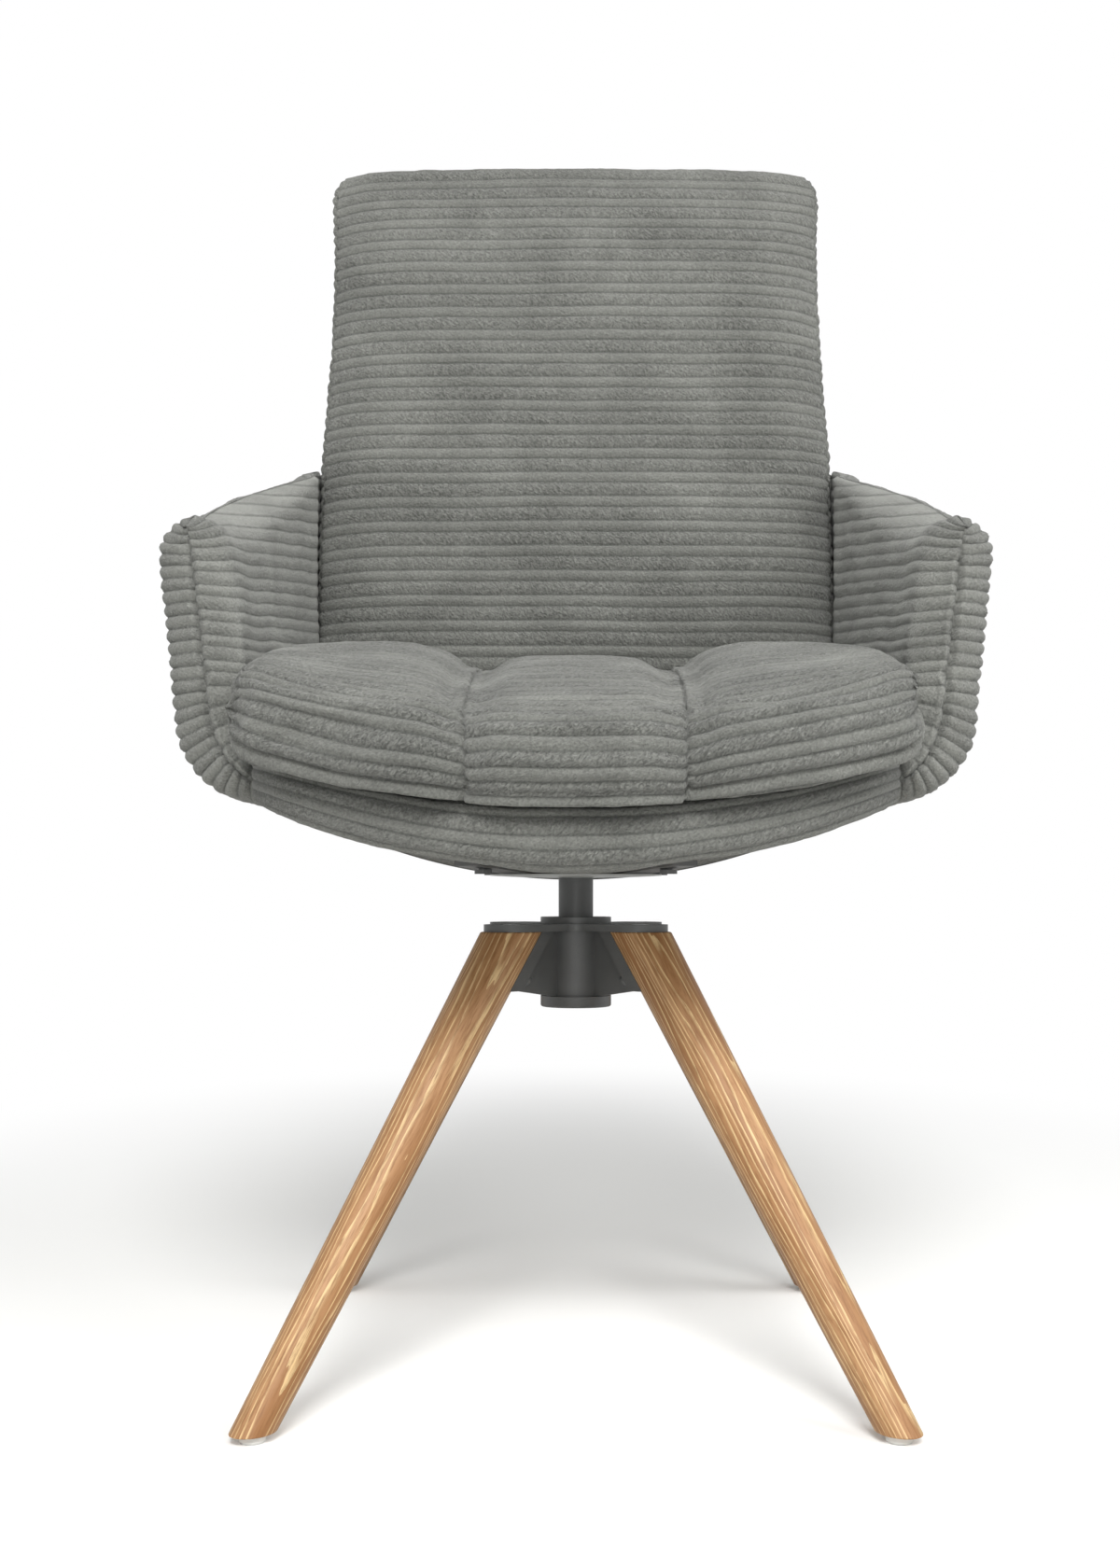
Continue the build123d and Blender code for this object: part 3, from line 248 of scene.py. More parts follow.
# 9c9d97 is the lighter rubbed cloth. On the arms' inner faces the same share is painted light.
for where, strength, code in ((painted_tuft_shade, nap, "#4b4c48"), (painted_tuft_highlight, nap, "#a2a39d"), (wear_and_painted_light, 0.72, "#9c9d97"),
                              (painted_groove_shade, 0.55, "#4b4d49")):
    share = add(tree, "Math", [where, strength], operation="MULTIPLY")
    tone = add(tree, "Mix", {0: share, 6: tone, 7: colour(code)}, data_type="RGBA")
stroke = add(tree, "MapRange", [patch, 0.3, 0.7, 0.86, 1.09])
pile = add(tree, "MapRange", [fluff, 0.3, 0.7, 0.82, 1.18])
stroke = add(tree, "Math", [stroke, pile], operation="MULTIPLY")
tone = add(tree, "VectorMath", [tone, stroke], operation="MULTIPLY")
shader = add(tree, "BsdfPrincipled", {"Base Color": tone, "Roughness": 0.95, "Specular IOR Level": 0.12,
                                      "Sheen Weight": 0.22, "Sheen Roughness": 0.45, "Normal": bump})
add(tree, "OutputMaterial", {"Surface": shader})
print("Corduroy:", len(tree.nodes), "nodes")

# %% [markdown]
# Oak for the legs: European oak, turned and sanded, with a clear matt oil. The eye sees long
# streaks along the leg, dark pores in short dashes, and broad flames where the growth rings
# are cut at a slant. The pattern is solid, in three directions, and reads the leg's own
# grain coordinates: across, across and along, in metres.

# %% Oak grain
oak, tree = new_material("oiled_oak")
grain = add(tree, "Attribute", attribute_name="grain").outputs["Vector"]
long_place = add(tree, "Mapping", {"Vector": grain, "Scale": (1.0, 1.0, 0.075)})
sway = add(tree, "TexNoise", {"Vector": long_place, "Scale": 62.0, "Detail": 2.5, "Roughness": 0.5})
bend = add(tree, "VectorMath", [sway.outputs["Color"], (0.013, 0.013, 0.0), long_place],
           operation="MULTIPLY_ADD")
rings = add(tree, "TexWave", {"Vector": bend, "Scale": 105.0, "Distortion": 1.1, "Detail": 2.0,
                              "Detail Scale": 2.0, "Detail Roughness": 0.5},
            wave_type="RINGS", rings_direction="Z", wave_profile="SAW")
streaks = add(tree, "TexNoise", {"Vector": bend, "Scale": 520.0, "Detail": 4.0, "Roughness": 0.7})
broad = add(tree, "TexNoise", {"Vector": bend, "Scale": 70.0, "Detail": 2.0})
pore_place = add(tree, "Mapping", {"Vector": grain, "Scale": (1.0, 1.0, 0.06)})
pores = add(tree, "TexNoise", {"Vector": pore_place, "Scale": 900.0, "Detail": 2.0})
print("Oak grain:", len(tree.nodes), "nodes")

# %% Oak colour
broad_share = add(tree, "MapRange", [broad, 0.36, 0.66])
tone = add(tree, "Mix", {0: broad_share, 6: colour("#b98d62"), 7: colour("#9c6e44")}, data_type="RGBA")
late = add(tree, "MapRange", [rings.outputs["Fac"], 0.62, 0.95, 0.0, 0.85],
           interpolation_type="SMOOTHSTEP")
streak = add(tree, "MapRange", [streaks, 0.46, 0.66, 0.0, 0.8])
pore = add(tree, "MapRange", [pores, 0.58, 0.72, 0.0, 0.55])
for share, code in ((late, "#e6c894"), (streak, "#8b5f36"), (pore, "#7f5731")):
    tone = add(tree, "Mix", {0: share, 6: tone, 7: colour(code)}, data_type="RGBA")
height = add(tree, "Math", [pores, streaks], operation="ADD")
bump = add(tree, "Bump", {"Height": height, "Distance": 0.0003, "Strength": 0.25})
gloss = add(tree, "MapRange", [streaks, 0, 1, 0.42, 0.6])
shader = add(tree, "BsdfPrincipled", {"Base Color": tone, "Roughness": gloss, "Normal": bump})
add(tree, "OutputMaterial", {"Surface": shader})
print("Oak:", len(tree.nodes), "nodes")

# %% [markdown]
# The hard finishes are simpler. Each is one plain tone that drifts a little, and a bump at the
# size of its own surface: powder coat has an orange peel of about half a millimetre,
# moulded plastic a fine spark texture, plated steel small brushed marks, plywood its veneer.

# %% Hard finishes
def hard_finish(name, light, dark, grit, peak, roughness, metallic=0.0, stretch=(1, 1, 1)):
    """A finish whose tone drifts between two colours, with a bump of the given grit in metres."""
    material, tree = new_material(name)
    place = add(tree, "TexCoord").outputs["Object"]
    turned = add(tree, "Mapping", {"Vector": place, "Scale": stretch})
    fine = add(tree, "TexNoise", {"Vector": turned, "Scale": 1 / grit, "Detail": 2.0})
    broad = add(tree, "TexNoise", {"Vector": turned, "Scale": 28.0, "Detail": 3.0})
    both = add(tree, "Math", [fine, 0.5, broad], operation="MULTIPLY_ADD")
    share = add(tree, "MapRange", [both, 0.45, 1.05])
    tone = add(tree, "Mix", {0: share, 6: colour(light), 7: colour(dark)}, data_type="RGBA")
    bump = add(tree, "Bump", {"Height": fine, "Distance": peak, "Strength": 0.5})
    gloss = add(tree, "MapRange", [broad, 0, 1, roughness - 0.06, roughness + 0.06])
    shader = add(tree, "BsdfPrincipled", {"Base Color": tone, "Metallic": metallic, "Roughness": gloss,
                                          "Normal": bump})
    add(tree, "OutputMaterial", {"Surface": shader})
    return material


hard = {
    "black_powder_coat": ("powder_coated_steel", "#5b5c5b", "#4a4b4a", 0.0006, 0.00008, 0.5),
    "black_nylon": ("moulded_black_nylon", "#5a5b59", "#4a4b4a", 0.0004, 0.00004, 0.42),
    "natural_nylon": ("moulded_natural_nylon", "#e6e2d6", "#dad5c6", 0.0005, 0.00004, 0.45),
    "grey_plastic": ("moulded_grey_polypropylene", "#b9bab7", "#a9aaa7", 0.0005, 0.00004, 0.4),
    "glide_plastic": ("moulded_white_polyethylene", "#f2f2ef", "#e6e6e2", 0.0005, 0.00004, 0.38),
    "zinc_steel": ("zinc_plated_steel", "#c4c6c8", "#a8abaf", 0.0008, 0.00003, 0.36, 1.0),
    "bare_steel": ("drawn_steel_tube", "#9a9c9e", "#85878a", 0.0006, 0.00003, 0.42, 1.0, (1, 0.1, 1)),
    "plywood": ("beech_plywood", "#d9b98a", "#c6a271", 0.0012, 0.0001, 0.55, 0.0, (1, 0.08, 1)),
    "foam": ("moulded_polyurethane_foam", "#e8ddb4", "#dccf9f", 0.0015, 0.0004, 0.9),
}
finishes = {slot: hard_finish(*sizes) for slot, sizes in hard.items()}
finishes.update(oak=oak, corduroy=corduroy)
print("Finishes:", len(finishes))

# %% [markdown]
# The CAD nodes whose shape is right stay as they are and only get a finish. The record says
# which slot each node takes, so the finishes are handed out by it. Steel and plastic are rigid,
# so remaking them would gain nothing but soft shading, which the CAD mesh already has.

# %% Finishes on the CAD nodes
for subpart in frame["record"]["subparts"]:
    materials = frame["nodes"][subpart["node"]].data.materials
    materials.clear()
    materials.append(finishes[subpart["material_slot"]])

# %% [markdown]
# A leg is a round stick, thicker at the top, turned on a lathe and then sawn level at both
# ends so that it stands flat and carries the plate. A cone primitive is laid along the leg's
# line, a little too long, and two bisect cuts make the level ends, just as the saw does. Its
# sawn rims are then bevelled as sandpaper would.

# %% Leg sizes
foot_reach, top_reach = 279 * mm, 64 * mm
foot_z, top_z = 5.5 * mm, 307 * mm
foot_radius, top_radius = 12.8 * mm, 19.0 * mm
foot = Vector((0, -foot_reach, foot_z))
top = Vector((0, -top_reach, top_z))
along = (top - foot).normalized()
lean = along.to_track_quat("Z", "Y")
length = (top - foot).length
taper = (top_radius - foot_radius) / length
spare = 30 * mm
print("Leg length in mm:", round(length / mm, 1))


# %% Model one leg
def turn_outward():
    """Turns all faces of the active mesh outward and goes back to object mode."""
    bpy.ops.object.mode_set(mode="EDIT")
    bpy.ops.mesh.select_all(action="SELECT")
    bpy.ops.mesh.normals_make_consistent(inside=False)
    bpy.ops.object.mode_set(mode="OBJECT")


bpy.ops.object.select_all(action="DESELECT")
bpy.ops.mesh.primitive_cone_add(vertices=72, radius1=foot_radius - taper * spare,
                                radius2=top_radius + taper * spare, depth=length + 2 * spare,
                                location=(foot + top) / 2, rotation=lean.to_euler())
leg = bpy.context.object
bpy.ops.object.transform_apply(location=True, rotation=True, scale=True)
bpy.ops.object.mode_set(mode="EDIT")
for height, keep_above in ((foot_z, True), (top_z, False)):
    bpy.ops.mesh.select_all(action="SELECT")
    bpy.ops.mesh.bisect(plane_co=(0, 0, height), plane_no=(0, 0, 1), use_fill=True,
                        clear_inner=keep_above, clear_outer=not keep_above)
turn_outward()
print("Leg faces:", len(leg.data.polygons))

# %% Sand the rims and smooth
for edge in leg.data.edges:
    ends = [leg.data.vertices[v].co.z for v in edge.vertices]
    edge.select = any(all(abs(z - cut) < 1e-5 for z in ends) for cut in (foot_z, top_z))
bpy.ops.object.mode_set(mode="EDIT")
bpy.ops.mesh.select_mode(type="EDGE")
bpy.ops.mesh.bevel(offset=1.0 * mm, segments=3)
bpy.ops.object.mode_set(mode="OBJECT")
bpy.ops.object.shade_smooth_by_angle(angle=math.radians(40))
print("After sanding:", len(leg.data.polygons), "faces")

# %% [markdown]
# Each of the four legs comes from another part of the plank, so each copy gets its own grain
# coordinates: the leg's own frame, with a shift of its own that moves the rings.

# %% Copy the leg round the axis
def place_leg(name, azimuth, shift):
    """A copy of the leg turned to its azimuth, with its own mesh and grain."""
    piece = bpy.data.objects.new(name, leg.data.copy())
    scene.collection.objects.link(piece)
    mesh = piece.data
    upright = lean.to_matrix().inverted()
    grain_data = []
    for vertex in mesh.vertices:
        grain_data.extend(upright @ (vertex.co - foot) + Vector(shift))
    mesh.attributes.new("grain", "FLOAT_VECTOR", "POINT").data.foreach_set("vector", grain_data)
    mesh.transform(Matrix.Rotation(math.radians(azimuth - 270), 4, "Z"))
    mesh.materials.append(oak)
    return piece


leg_places = {"leg_rear_left": (45, (0.03, 0.05, 0.1)), "leg_rear_right": (135, (-0.06, 0.02, 0.7)),
              "leg_front_right": (225, (0.045, -0.03, 1.5)), "leg_front_left": (315, (-0.02, 0.055, 2.4))}
for node_name, (azimuth, shift) in leg_places.items():
    piece = place_leg(node_name + "_oak", azimuth, shift)
    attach(piece, "base")
    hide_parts(node_name)
bpy.data.objects.remove(leg)
print("Legs:", sorted(leg_places))

# %% [markdown]
# Upholstery. Every padded piece is a closed sleeve of cloth: loops of points, one after the
# other, from one end to the other. The base form is worked out on a coarse grid, cloth with
# a little air inside gives it its swell, and then the grid is sampled finely enough to press the
# ribs into it. Mesh code is used here instead of a primitive because the ribs have to follow
# the grid exactly, and cloth would wipe out anything as fine as a rib. The fine points stand
# closest at the seams, eight to a rib across the ribs, and far apart where nothing shows.

# %% Sampling a grid of points
def smooth_weights(at, count, closed):
    """Four neighbours and their weights for each place on a row of count points."""
    base = np.floor(at).astype(int)
    if not closed:
        base = np.clip(base, 0, count - 2)
    t = at - base
    weights = np.stack([-t + 2 * t**2 - t**3, 2 - 5 * t**2 + 3 * t**3,
                        t + 4 * t**2 - 3 * t**3, -t**2 + t**3], 1) / 2
    index = base[:, None] + np.arange(-1, 3)
    index = index % count if closed else np.clip(index, 0, count - 1)
    return index, weights


def resample(grid, rows, turns):
    """The grid at fractional rows and turns, on smooth curves through its points."""
    index, weights = smooth_weights(rows, grid.shape[0], False)
    part = np.einsum("rk,rkcx->rcx", weights, grid[index])
    index, weights = smooth_weights(turns, grid.shape[1], True)
    return np.einsum("ck,rckx->rcx", weights, part[:, index])


print("Sampling ready")


# %% Measuring and spacing, all in millimetres
def lengths(line, closed=False):
    """Length run from the start of a line to each of its points."""
    if closed:
        line = np.concatenate([line, line[:1]])
    return np.concatenate([[0], np.cumsum(np.linalg.norm(np.diff(line, axis=0), axis=1))])


def stations(total, changes, steps):
    """Places from 0 to total, one step apart. The next step takes over at each change."""
    run = np.linspace(0, total, 4000)
    step = np.array(steps)[np.searchsorted(changes, (run[1:] + run[:-1]) / 2)]
    count = np.concatenate([[0], np.cumsum(np.diff(run) / step)])
    return np.interp(np.linspace(0, count[-1], int(round(count[-1])) + 1), count, run)


def index_at(run, places):
    """The fractional index of each place on a line whose points lie at those runs."""
    return np.interp(places, run, np.arange(len(run)))


def sleeve(grid, rows_at, ring, changes, steps):
    """Fine points on the grid's rings, and how far round its ring each is, closing column included."""
    turns_run = stations(ring[-1], changes, steps)
    points = resample(grid, rows_at, index_at(ring, turns_run)[:-1])
    return points, np.broadcast_to(turns_run, (len(rows_at), len(turns_run)))


def crosswise(grid, cross, changes, steps, turns_at):
    """Fine points on rings that stand side by side, and how far across each is, closed as well."""
    rows_run = stations(cross[-1], changes, steps)
    points = resample(grid, index_at(cross, rows_run), turns_at[:-1])
    return points, np.broadcast_to(rows_run[:, None], (len(rows_run), len(turns_at)))


print("A 100 mm run in steps of 30 mm, then 10 mm:", stations(100, [60], [30.0, 10.0]).round(1))


# %% Soft steps and unevenness
def ramp(x, width):
    """0 below x = 0, then evenly up to 1 at x = width."""
    return np.clip(x / width, 0, 1)


def ease(share):
    """A share from 0 to 1 with a soft start and a soft end."""
    return share * share * (3 - 2 * share)


def bell(x, width):
    """1 at x = 0, and next to nothing beyond twice the width on either side."""
    return np.exp(-(x / width) ** 2)


def nearer(s, places):
    """How far s is from the nearer of two places."""
    return np.minimum(np.abs(s - places[0]), np.abs(s - places[1]))


def ripple(across, up, seed, size):
    """Smooth unevenness of about -1 to 1 with waves of about that size, the same on every run."""
    dice = np.random.default_rng(seed)
    total = 0.0
    for _ in range(7):
        turn, start = dice.uniform(0, 2 * math.pi, 2)
        rate = 2 * math.pi / size * dice.uniform(0.55, 1.5)
        total = total + np.sin(rate * (across * math.cos(turn) + up * math.sin(turn)) + start)
    return total / 3.2


print("A ramp to 10 passes 4 at", ramp(4, 10), "and eased at", round(ease(0.4), 3))


# %% Ribs in pairs
rib_pair = 20.9


def spread(ribs):
    """Where a rib lies, in rib widths: a smooth rib is narrow and the ruffled one after it wide."""
    pair = np.floor(ribs / 2)
    inside = ribs - 2 * pair
    return 2 * pair + np.where(inside < 1, 0.86 * inside, 0.86 + 1.14 * (inside - 1))


def paired_rows(grid, column):
    """Rows up a column of the grid, eight to a rib: their ribs, their indices and the rib count."""
    rise = lengths(grid[:, column])
    count = 2 * int(round(rise[-1] / rib_pair))
    rib_rows = np.arange(0, count * 8 + 1) / 8
    return rib_rows[:, None], index_at(rise, spread(rib_rows) / count * rise[-1]), count


print("The first four ribs end at", spread(np.arange(5.0)))

# %% [markdown]
# Air pressure on cloth does what stuffing does: it rounds the face between the seams and
# draws the seams in. Points on a seam, or on a side that rests on something, are held. No point
# may move further than the cap, so that the pad keeps to the room it has.

# %% A mesh from a grid
def grid_mesh(name, points):
    """A mesh of quads over a grid of loops, in metres, with both ends closed."""
    number = np.arange(points[..., 0].size).reshape(points.shape[:2])
    after = np.roll(number, -1, 1)
    quads = np.stack([number[:-1], after[:-1], after[1:], number[1:]], -1).reshape(-1, 4)
    ends = [number[0, ::-1].tolist(), number[-1].tolist()]
    mesh = bpy.data.meshes.new(name)
    mesh.from_pydata((points.reshape(-1, 3) * mm).tolist(), [], quads.tolist() + ends)
    return mesh


def put_in_scene(name, mesh):
    """A new object with that mesh, the only one selected and the active one."""
    thing = bpy.data.objects.new(name, mesh)
    scene.collection.objects.link(thing)
    bpy.ops.object.select_all(action="DESELECT")
    bpy.context.view_layer.objects.active = thing
    thing.select_set(True)
    return thing


print("Meshes are made from loops of points")


# %% Swell a coarse grid
def swell(name, grid, held, cap):
    """The grid after 20 frames as cloth with air inside. held is 1 where a point stays."""
    thing = put_in_scene(name, grid_mesh(name, grid))
    group = thing.vertex_groups.new(name="held")
    for index, weight in enumerate(held.reshape(-1)):
        if weight > 0:
            group.add([index], float(weight), "REPLACE")
    cloth = thing.modifiers.new("Cloth", "CLOTH")
    cloth.settings.quality = 4
    cloth.settings.vertex_group_mass = "held"
    cloth.settings.use_pressure = True
    cloth.settings.uniform_pressure_force = 4.0
    cloth.settings.effector_weights.gravity = 0.0
    for frame_number in range(1, 21):
        scene.frame_set(frame_number)
    bpy.ops.object.modifier_apply(modifier="Cloth")
    moved = np.zeros(len(thing.data.vertices) * 3)
    thing.data.vertices.foreach_get("co", moved)
    moved = moved.reshape(grid.shape) / mm - grid
    scene.frame_set(1)
    bpy.data.objects.remove(thing)
    size = np.linalg.norm(moved, axis=2, keepdims=True)
    print(name, "swells by up to", round(float(size.max()), 1), "mm, capped at", cap)
    return grid + moved * np.minimum(1, cap / np.maximum(size, 1e-9))


# %% [markdown]
# Now the ribs. A rib's cross-section is a round back between two narrow valleys, so the
# valley is cut by one minus a flattened sine. The crown stays on the base form and only the
# valley goes in, which keeps the piece inside its room.

# %% Press the ribs in and make the mesh
def pressed(points, ribs, run, depth, pull, seed):
    """The points with their ribs, seams, pile and small unevenness pressed in along the normals."""
    around = np.roll(points, -1, 1) - np.roll(points, 1, 1)
    normal = np.cross(around, np.gradient(points, axis=0))
    if np.sum((points - points.mean((0, 1))) * normal) < 0:
        normal = -normal
    normal /= np.maximum(np.linalg.norm(normal, axis=2, keepdims=True), 1e-9)
    valley = 1 - np.abs(np.sin(np.pi * ribs)) ** 0.75
    ruffled = (ribs / 2) % 1 > 0.5
    shallow = np.minimum(depth, 1)
    fluff = np.random.default_rng(seed).normal(0, 1, ribs.shape) * np.where(ruffled, 0.16, 0.07) * shallow
    uneven = 0.35 * ripple(run, ribs * 10, seed, 55) + 0.18 * ripple(run, ribs * 10, seed + 1, 17)
    return points - normal * (depth * valley + pull - fluff - uneven * shallow)[..., None]


def upholster(name, points, ribs, run, depth, wear_and_painted_light, pull, seed, node):
    """A finished padded piece. Every array but the points has one more column, which closes it."""
    depth, wear_and_painted_light, pull = (np.broadcast_to(value, ribs.shape)[:, :-1] for value in (depth, wear_and_painted_light, pull))
    points = pressed(points, ribs[:, :-1], run[:, :-1], depth, pull, seed)
    mesh = grid_mesh(name, points)
    uv = np.stack([run / 10, ribs], -1)
    sides = np.stack([uv[:-1, :-1], uv[:-1, 1:], uv[1:, 1:], uv[1:, :-1]], 2).reshape(-1, 2)
    layer = np.concatenate([sides, uv[0, -2::-1], uv[-1, :-1]])
    mesh.uv_layers.new(name="ribs").data.foreach_set("uv", layer.ravel())
    mesh.attributes.new("wear_and_painted_light", "FLOAT", "POINT").data.foreach_set("value", wear_and_painted_light.ravel())
    mesh.polygons.foreach_set("use_smooth", np.ones(len(mesh.polygons), bool))
    mesh.materials.append(corduroy)
    piece = put_in_scene(name, mesh)
    turn_outward()
    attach(piece, "seat")
    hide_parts(node)
    low, high = points.reshape(-1, 3).min(0), points.reshape(-1, 3).max(0)
    print(name, "faces", len(mesh.polygons), "box", low.round(1), high.round(1))
    return piece


# %% [markdown]
# The back of the chair leans, so the back's pieces are drawn on its plane: how far up along
# it, how far behind it and how far sideways. These helpers turn that into the chair's frame,
# and give the height of the bowl that the seat's pieces follow.

# %% The back's plane and the bowl
rake = math.radians(9)
board_y, board_z = 178, 400
bowl_half = 205.0


def board_front(z):
    """How far back the front of the leaning board is at that height."""
    return board_y + (z - board_z) * math.tan(rake)


def on_back(x, up, behind):
    """A point of the leaning back plane, in millimetres."""
    return np.stack([x + 0 * up, board_y + up * math.sin(rake) + behind * math.cos(rake),
                     board_z + up * math.cos(rake) - behind * math.sin(rake)], -1)


def bowl(x, middle_z, side_rise):
    """Height of the bowl's round underside or top at x."""
    radius = (bowl_half**2 + side_rise**2) / (2 * side_rise)
    return middle_z + radius - np.sqrt(radius**2 - np.minimum(np.abs(x), bowl_half) ** 2)


print("Back plane at up = 500:", on_back(0, np.float64(500), 0).round(1))

# %% [markdown]
# Back cushion. A tall cushion whose face is crowned a little, with a thin border round it and
# the ribs level across the face. The seam between face and border runs just round the
# corner, so from the front it shows as a fine line by the edge. Its loops are level rings
# round the cushion, and the last few roll over the top and the bottom.

# %% Back cushion: the ring and the levels
low_up, high_up, end_round = 73.0, 566.5, 11.0
template = [(x, 0.0) for x in np.linspace(0.06, 0.96, 16)]
template += [(0.985, 0.03), (1.0, 0.16), (1.0, 0.4), (1.0, 0.64)]
for angle in np.radians([15, 35, 55, 75, 90]):
    template.append((1 - 0.028 * (1 - math.cos(angle)), 1 - 0.26 * (1 - math.sin(angle))))
template += [(x, 1.0) for x in np.linspace(0.925, 0.05, 19)]
template += [(-x, share) for x, share in template[::-1]]
sideways, depth_share = np.array(template).T
roll = np.radians(np.concatenate([np.linspace(-88, -15, 6), np.zeros(44), np.linspace(15, 88, 6)]))
middle_levels = np.linspace(low_up + end_round, high_up - end_round, 44)
row_up = np.concatenate([np.full(6, middle_levels[0]), middle_levels, np.full(6, middle_levels[-1])])
row_up = (row_up + end_round * np.sin(roll))[:, None]
roll = roll[:, None]
print("Back cushion grid:", len(row_up), "x", len(sideways))

# %% Back cushion: base form
share = (row_up - low_up) / (high_up - low_up)
full = 1 - 0.42 * np.abs(2 * share - 1) ** 4
full = full * (0.30 + 0.70 * np.cos(roll) ** 0.8)
narrow = 1 - 0.038 * np.maximum(0, (np.abs(row_up - 318) - 229) / 16) ** 2
half_width = np.interp(row_up, [0, 285, 330, 390, 440, 500, 545, 567],
                       [216.0, 216.4, 214.2, 210.6, 209.2, 209.6, 211.6, 211.6])
thick = (30 + 22 * (1 - np.abs(sideways) ** 9)) * full * depth_share
up = row_up - 3.4 * sideways**2 * np.clip(share, 0, 1) ** 3
behind = -thick - 0.5 - 1.5 * (depth_share < 0.1) * (1 - np.cos(roll))
grid = on_back(half_width * sideways * narrow, up, behind)
held = np.where(depth_share < 0.2, 1.0, 0.0) * np.ones((len(row_up), 1))
grid = swell("back_cushion_form", grid, held, 3.0)
print("Thickest in mm:", round(float(thick.max()), 1))

# %% Back cushion: ribs, seam and cover
level, rows_at, count = paired_rows(grid, len(sideways) // 2)
ring = lengths(grid[28], closed=True)
corner_runs = ring[[22, len(sideways) - 23]]
first, last = corner_runs
changes = [first - 40, first - 6, first + 6, last - 6, last + 6, last + 40]
points, run = sleeve(grid, rows_at, ring, changes, [13.0, 4.2, 0.9, 4.2, 0.9, 4.2, 13.0])
border = (run < corner_runs[0]) | (run > corner_runs[1])
ribs = level + np.where(border, 0.375, 0.0) + 0.07 * ripple(run, level * 10, 5, 160)
depth = 1.9 * ramp(np.minimum(level, count - level), 1)
pull = 2.2 * bell(nearer(run, corner_runs), 1.3) * (1 + 0.3 * np.sin(ribs * 2 * np.pi))
pull = pull + 0.9 * bell(level - (count - 3.4), 0.12) * ~border
wear_and_painted_light = 0.12 + 0.12 * ripple(run, level * 10, 9, 120)
upholster("back_cushion_cover", points, ribs, run, depth, wear_and_painted_light, pull, 11, "back_cushion")

# %% [markdown]
# Outer back pad. The flat shell pad behind the board, as wide as the arms low down, with a
# shoulder where it narrows to the cushion's width. Its rows bend into the bowl at the
# bottom, so the ribs there run round the seat's underside as they do on the arms.

# %% Outer back pad: the ring and the levels
pad_top, pad_thick = 547, 26.2
levels = np.concatenate([np.linspace(0, 258, 22), np.linspace(266, 310, 8), np.linspace(322, 532, 20),
                         [540, 545.5, pad_top]])[:, None]
wide = np.interp(levels, [0, 274, 282, 299, 308, 548], [238, 238, 234, 214, 206, 204])
wide = wide - 18 * (1 - np.sqrt(1 - ramp(levels - 529, 18.5) ** 2))
template = [(x, 1.0) for x in np.linspace(0.04, 0.9, 18)] + [(0.955, 0.99), (0.985, 0.86), (1.0, 0.62)]
template += [(1.0, 0.3), (0.995, 0.08), (0.975, 0.0)] + [(x, 0.0) for x in np.linspace(0.9, 0.04, 14)]
template += [(-x, share) for x, share in template[::-1]]
sideways, depth_share = np.array(template).T
print("Outer back pad grid:", len(levels), "x", len(sideways))

# %% Outer back pad: base form
x = wide * sideways
out = ramp(np.abs(x) - bowl_half, 33)
edge_up = (bowl(x, 346, 46) - board_z) / math.cos(rake) + 44 * (1 - np.sqrt(1 - out**2))
blend = ease(ramp(levels, 130))
up = edge_up * (1 - blend) + levels * blend
up = np.where(levels < 130, np.maximum(up, edge_up + levels * 0.45), up)
close = ramp(np.minimum(levels, pad_top - levels), 9)
thick = pad_thick * (0.12 + 0.88 * np.sqrt(1 - (1 - close) ** 2))
grid = on_back(x, up, 0.6 + (pad_thick - thick) * 0.35 + thick * depth_share)
held = np.where((depth_share < 0.1) | (levels < 5), 1.0, 0.0)
grid = swell("outer_back_form", grid, held, 2.0)

# %% Outer back pad: ribs, edge seam and cover
level, rows_at, count = paired_rows(grid, 3)
ring = lengths(grid[20], closed=True)
quarter = ring[[20, len(sideways) - 21]]
points, run = sleeve(grid, rows_at, ring, quarter + [50, -50], [4.6, 16.0, 4.6])
ribs = level + 0.10 * ripple(run, level * 10, 15, 170)
hidden = (run > quarter[0] + 45) & (run < quarter[1] - 45)
depth = np.where(hidden, 0.0, 1.6) * ramp(np.minimum(level, count - level), 1)
pull = 1.8 * bell(nearer(run, quarter + [4, -4]), 2.4)
wear_and_painted_light = 0.15 + 0.12 * ripple(run, level * 10, 19, 150)
upholster("outer_back_cover", points, ribs, run, depth, wear_and_painted_light, pull, 21, "outer_back_pad")

# %% [markdown]
# The arms. Each arm leans out, and its cover is cut so that the ribs run forwards on the inner
# face, round the front and back along the outer face. A seam goes down the middle of the
# front. Low down the outer face turns under into the bowl, and the ribs fan out there
# to follow it. The left arm is drawn once, and the right one is its mirror image.

# %% Arm: sizes along its length, from 0 at the front to 1 at the rear
arm_back = np.array([0.0, 0.022, 0.062, 0.133, 0.235, 0.45, 0.592, 0.821, 1.0])
arm_rise = np.array([-0.03, -0.03, -0.02, 0.01, 0.125, 0.394, 0.558, 0.82, 1.015])
arm_draw = np.array([0.0, 0.0, -0.04, -0.17, -0.23, 0.20, 0.61, 0.92, 1.0])
arm_inner = np.array([222.0, 222.0, 221.8, 221.4, 220.8, 217.0, 213.6, 209.4, 207.2])
arm_front, arm_length, inner_foot = -152.0, 392, 417.7
nose_depth, fan_ribs, arm_ribs = 24.0, 11.0, 26.0
fan_low, fan_depth = 338.0, 1500.0     # where the inner ribs' lines would meet, far in front


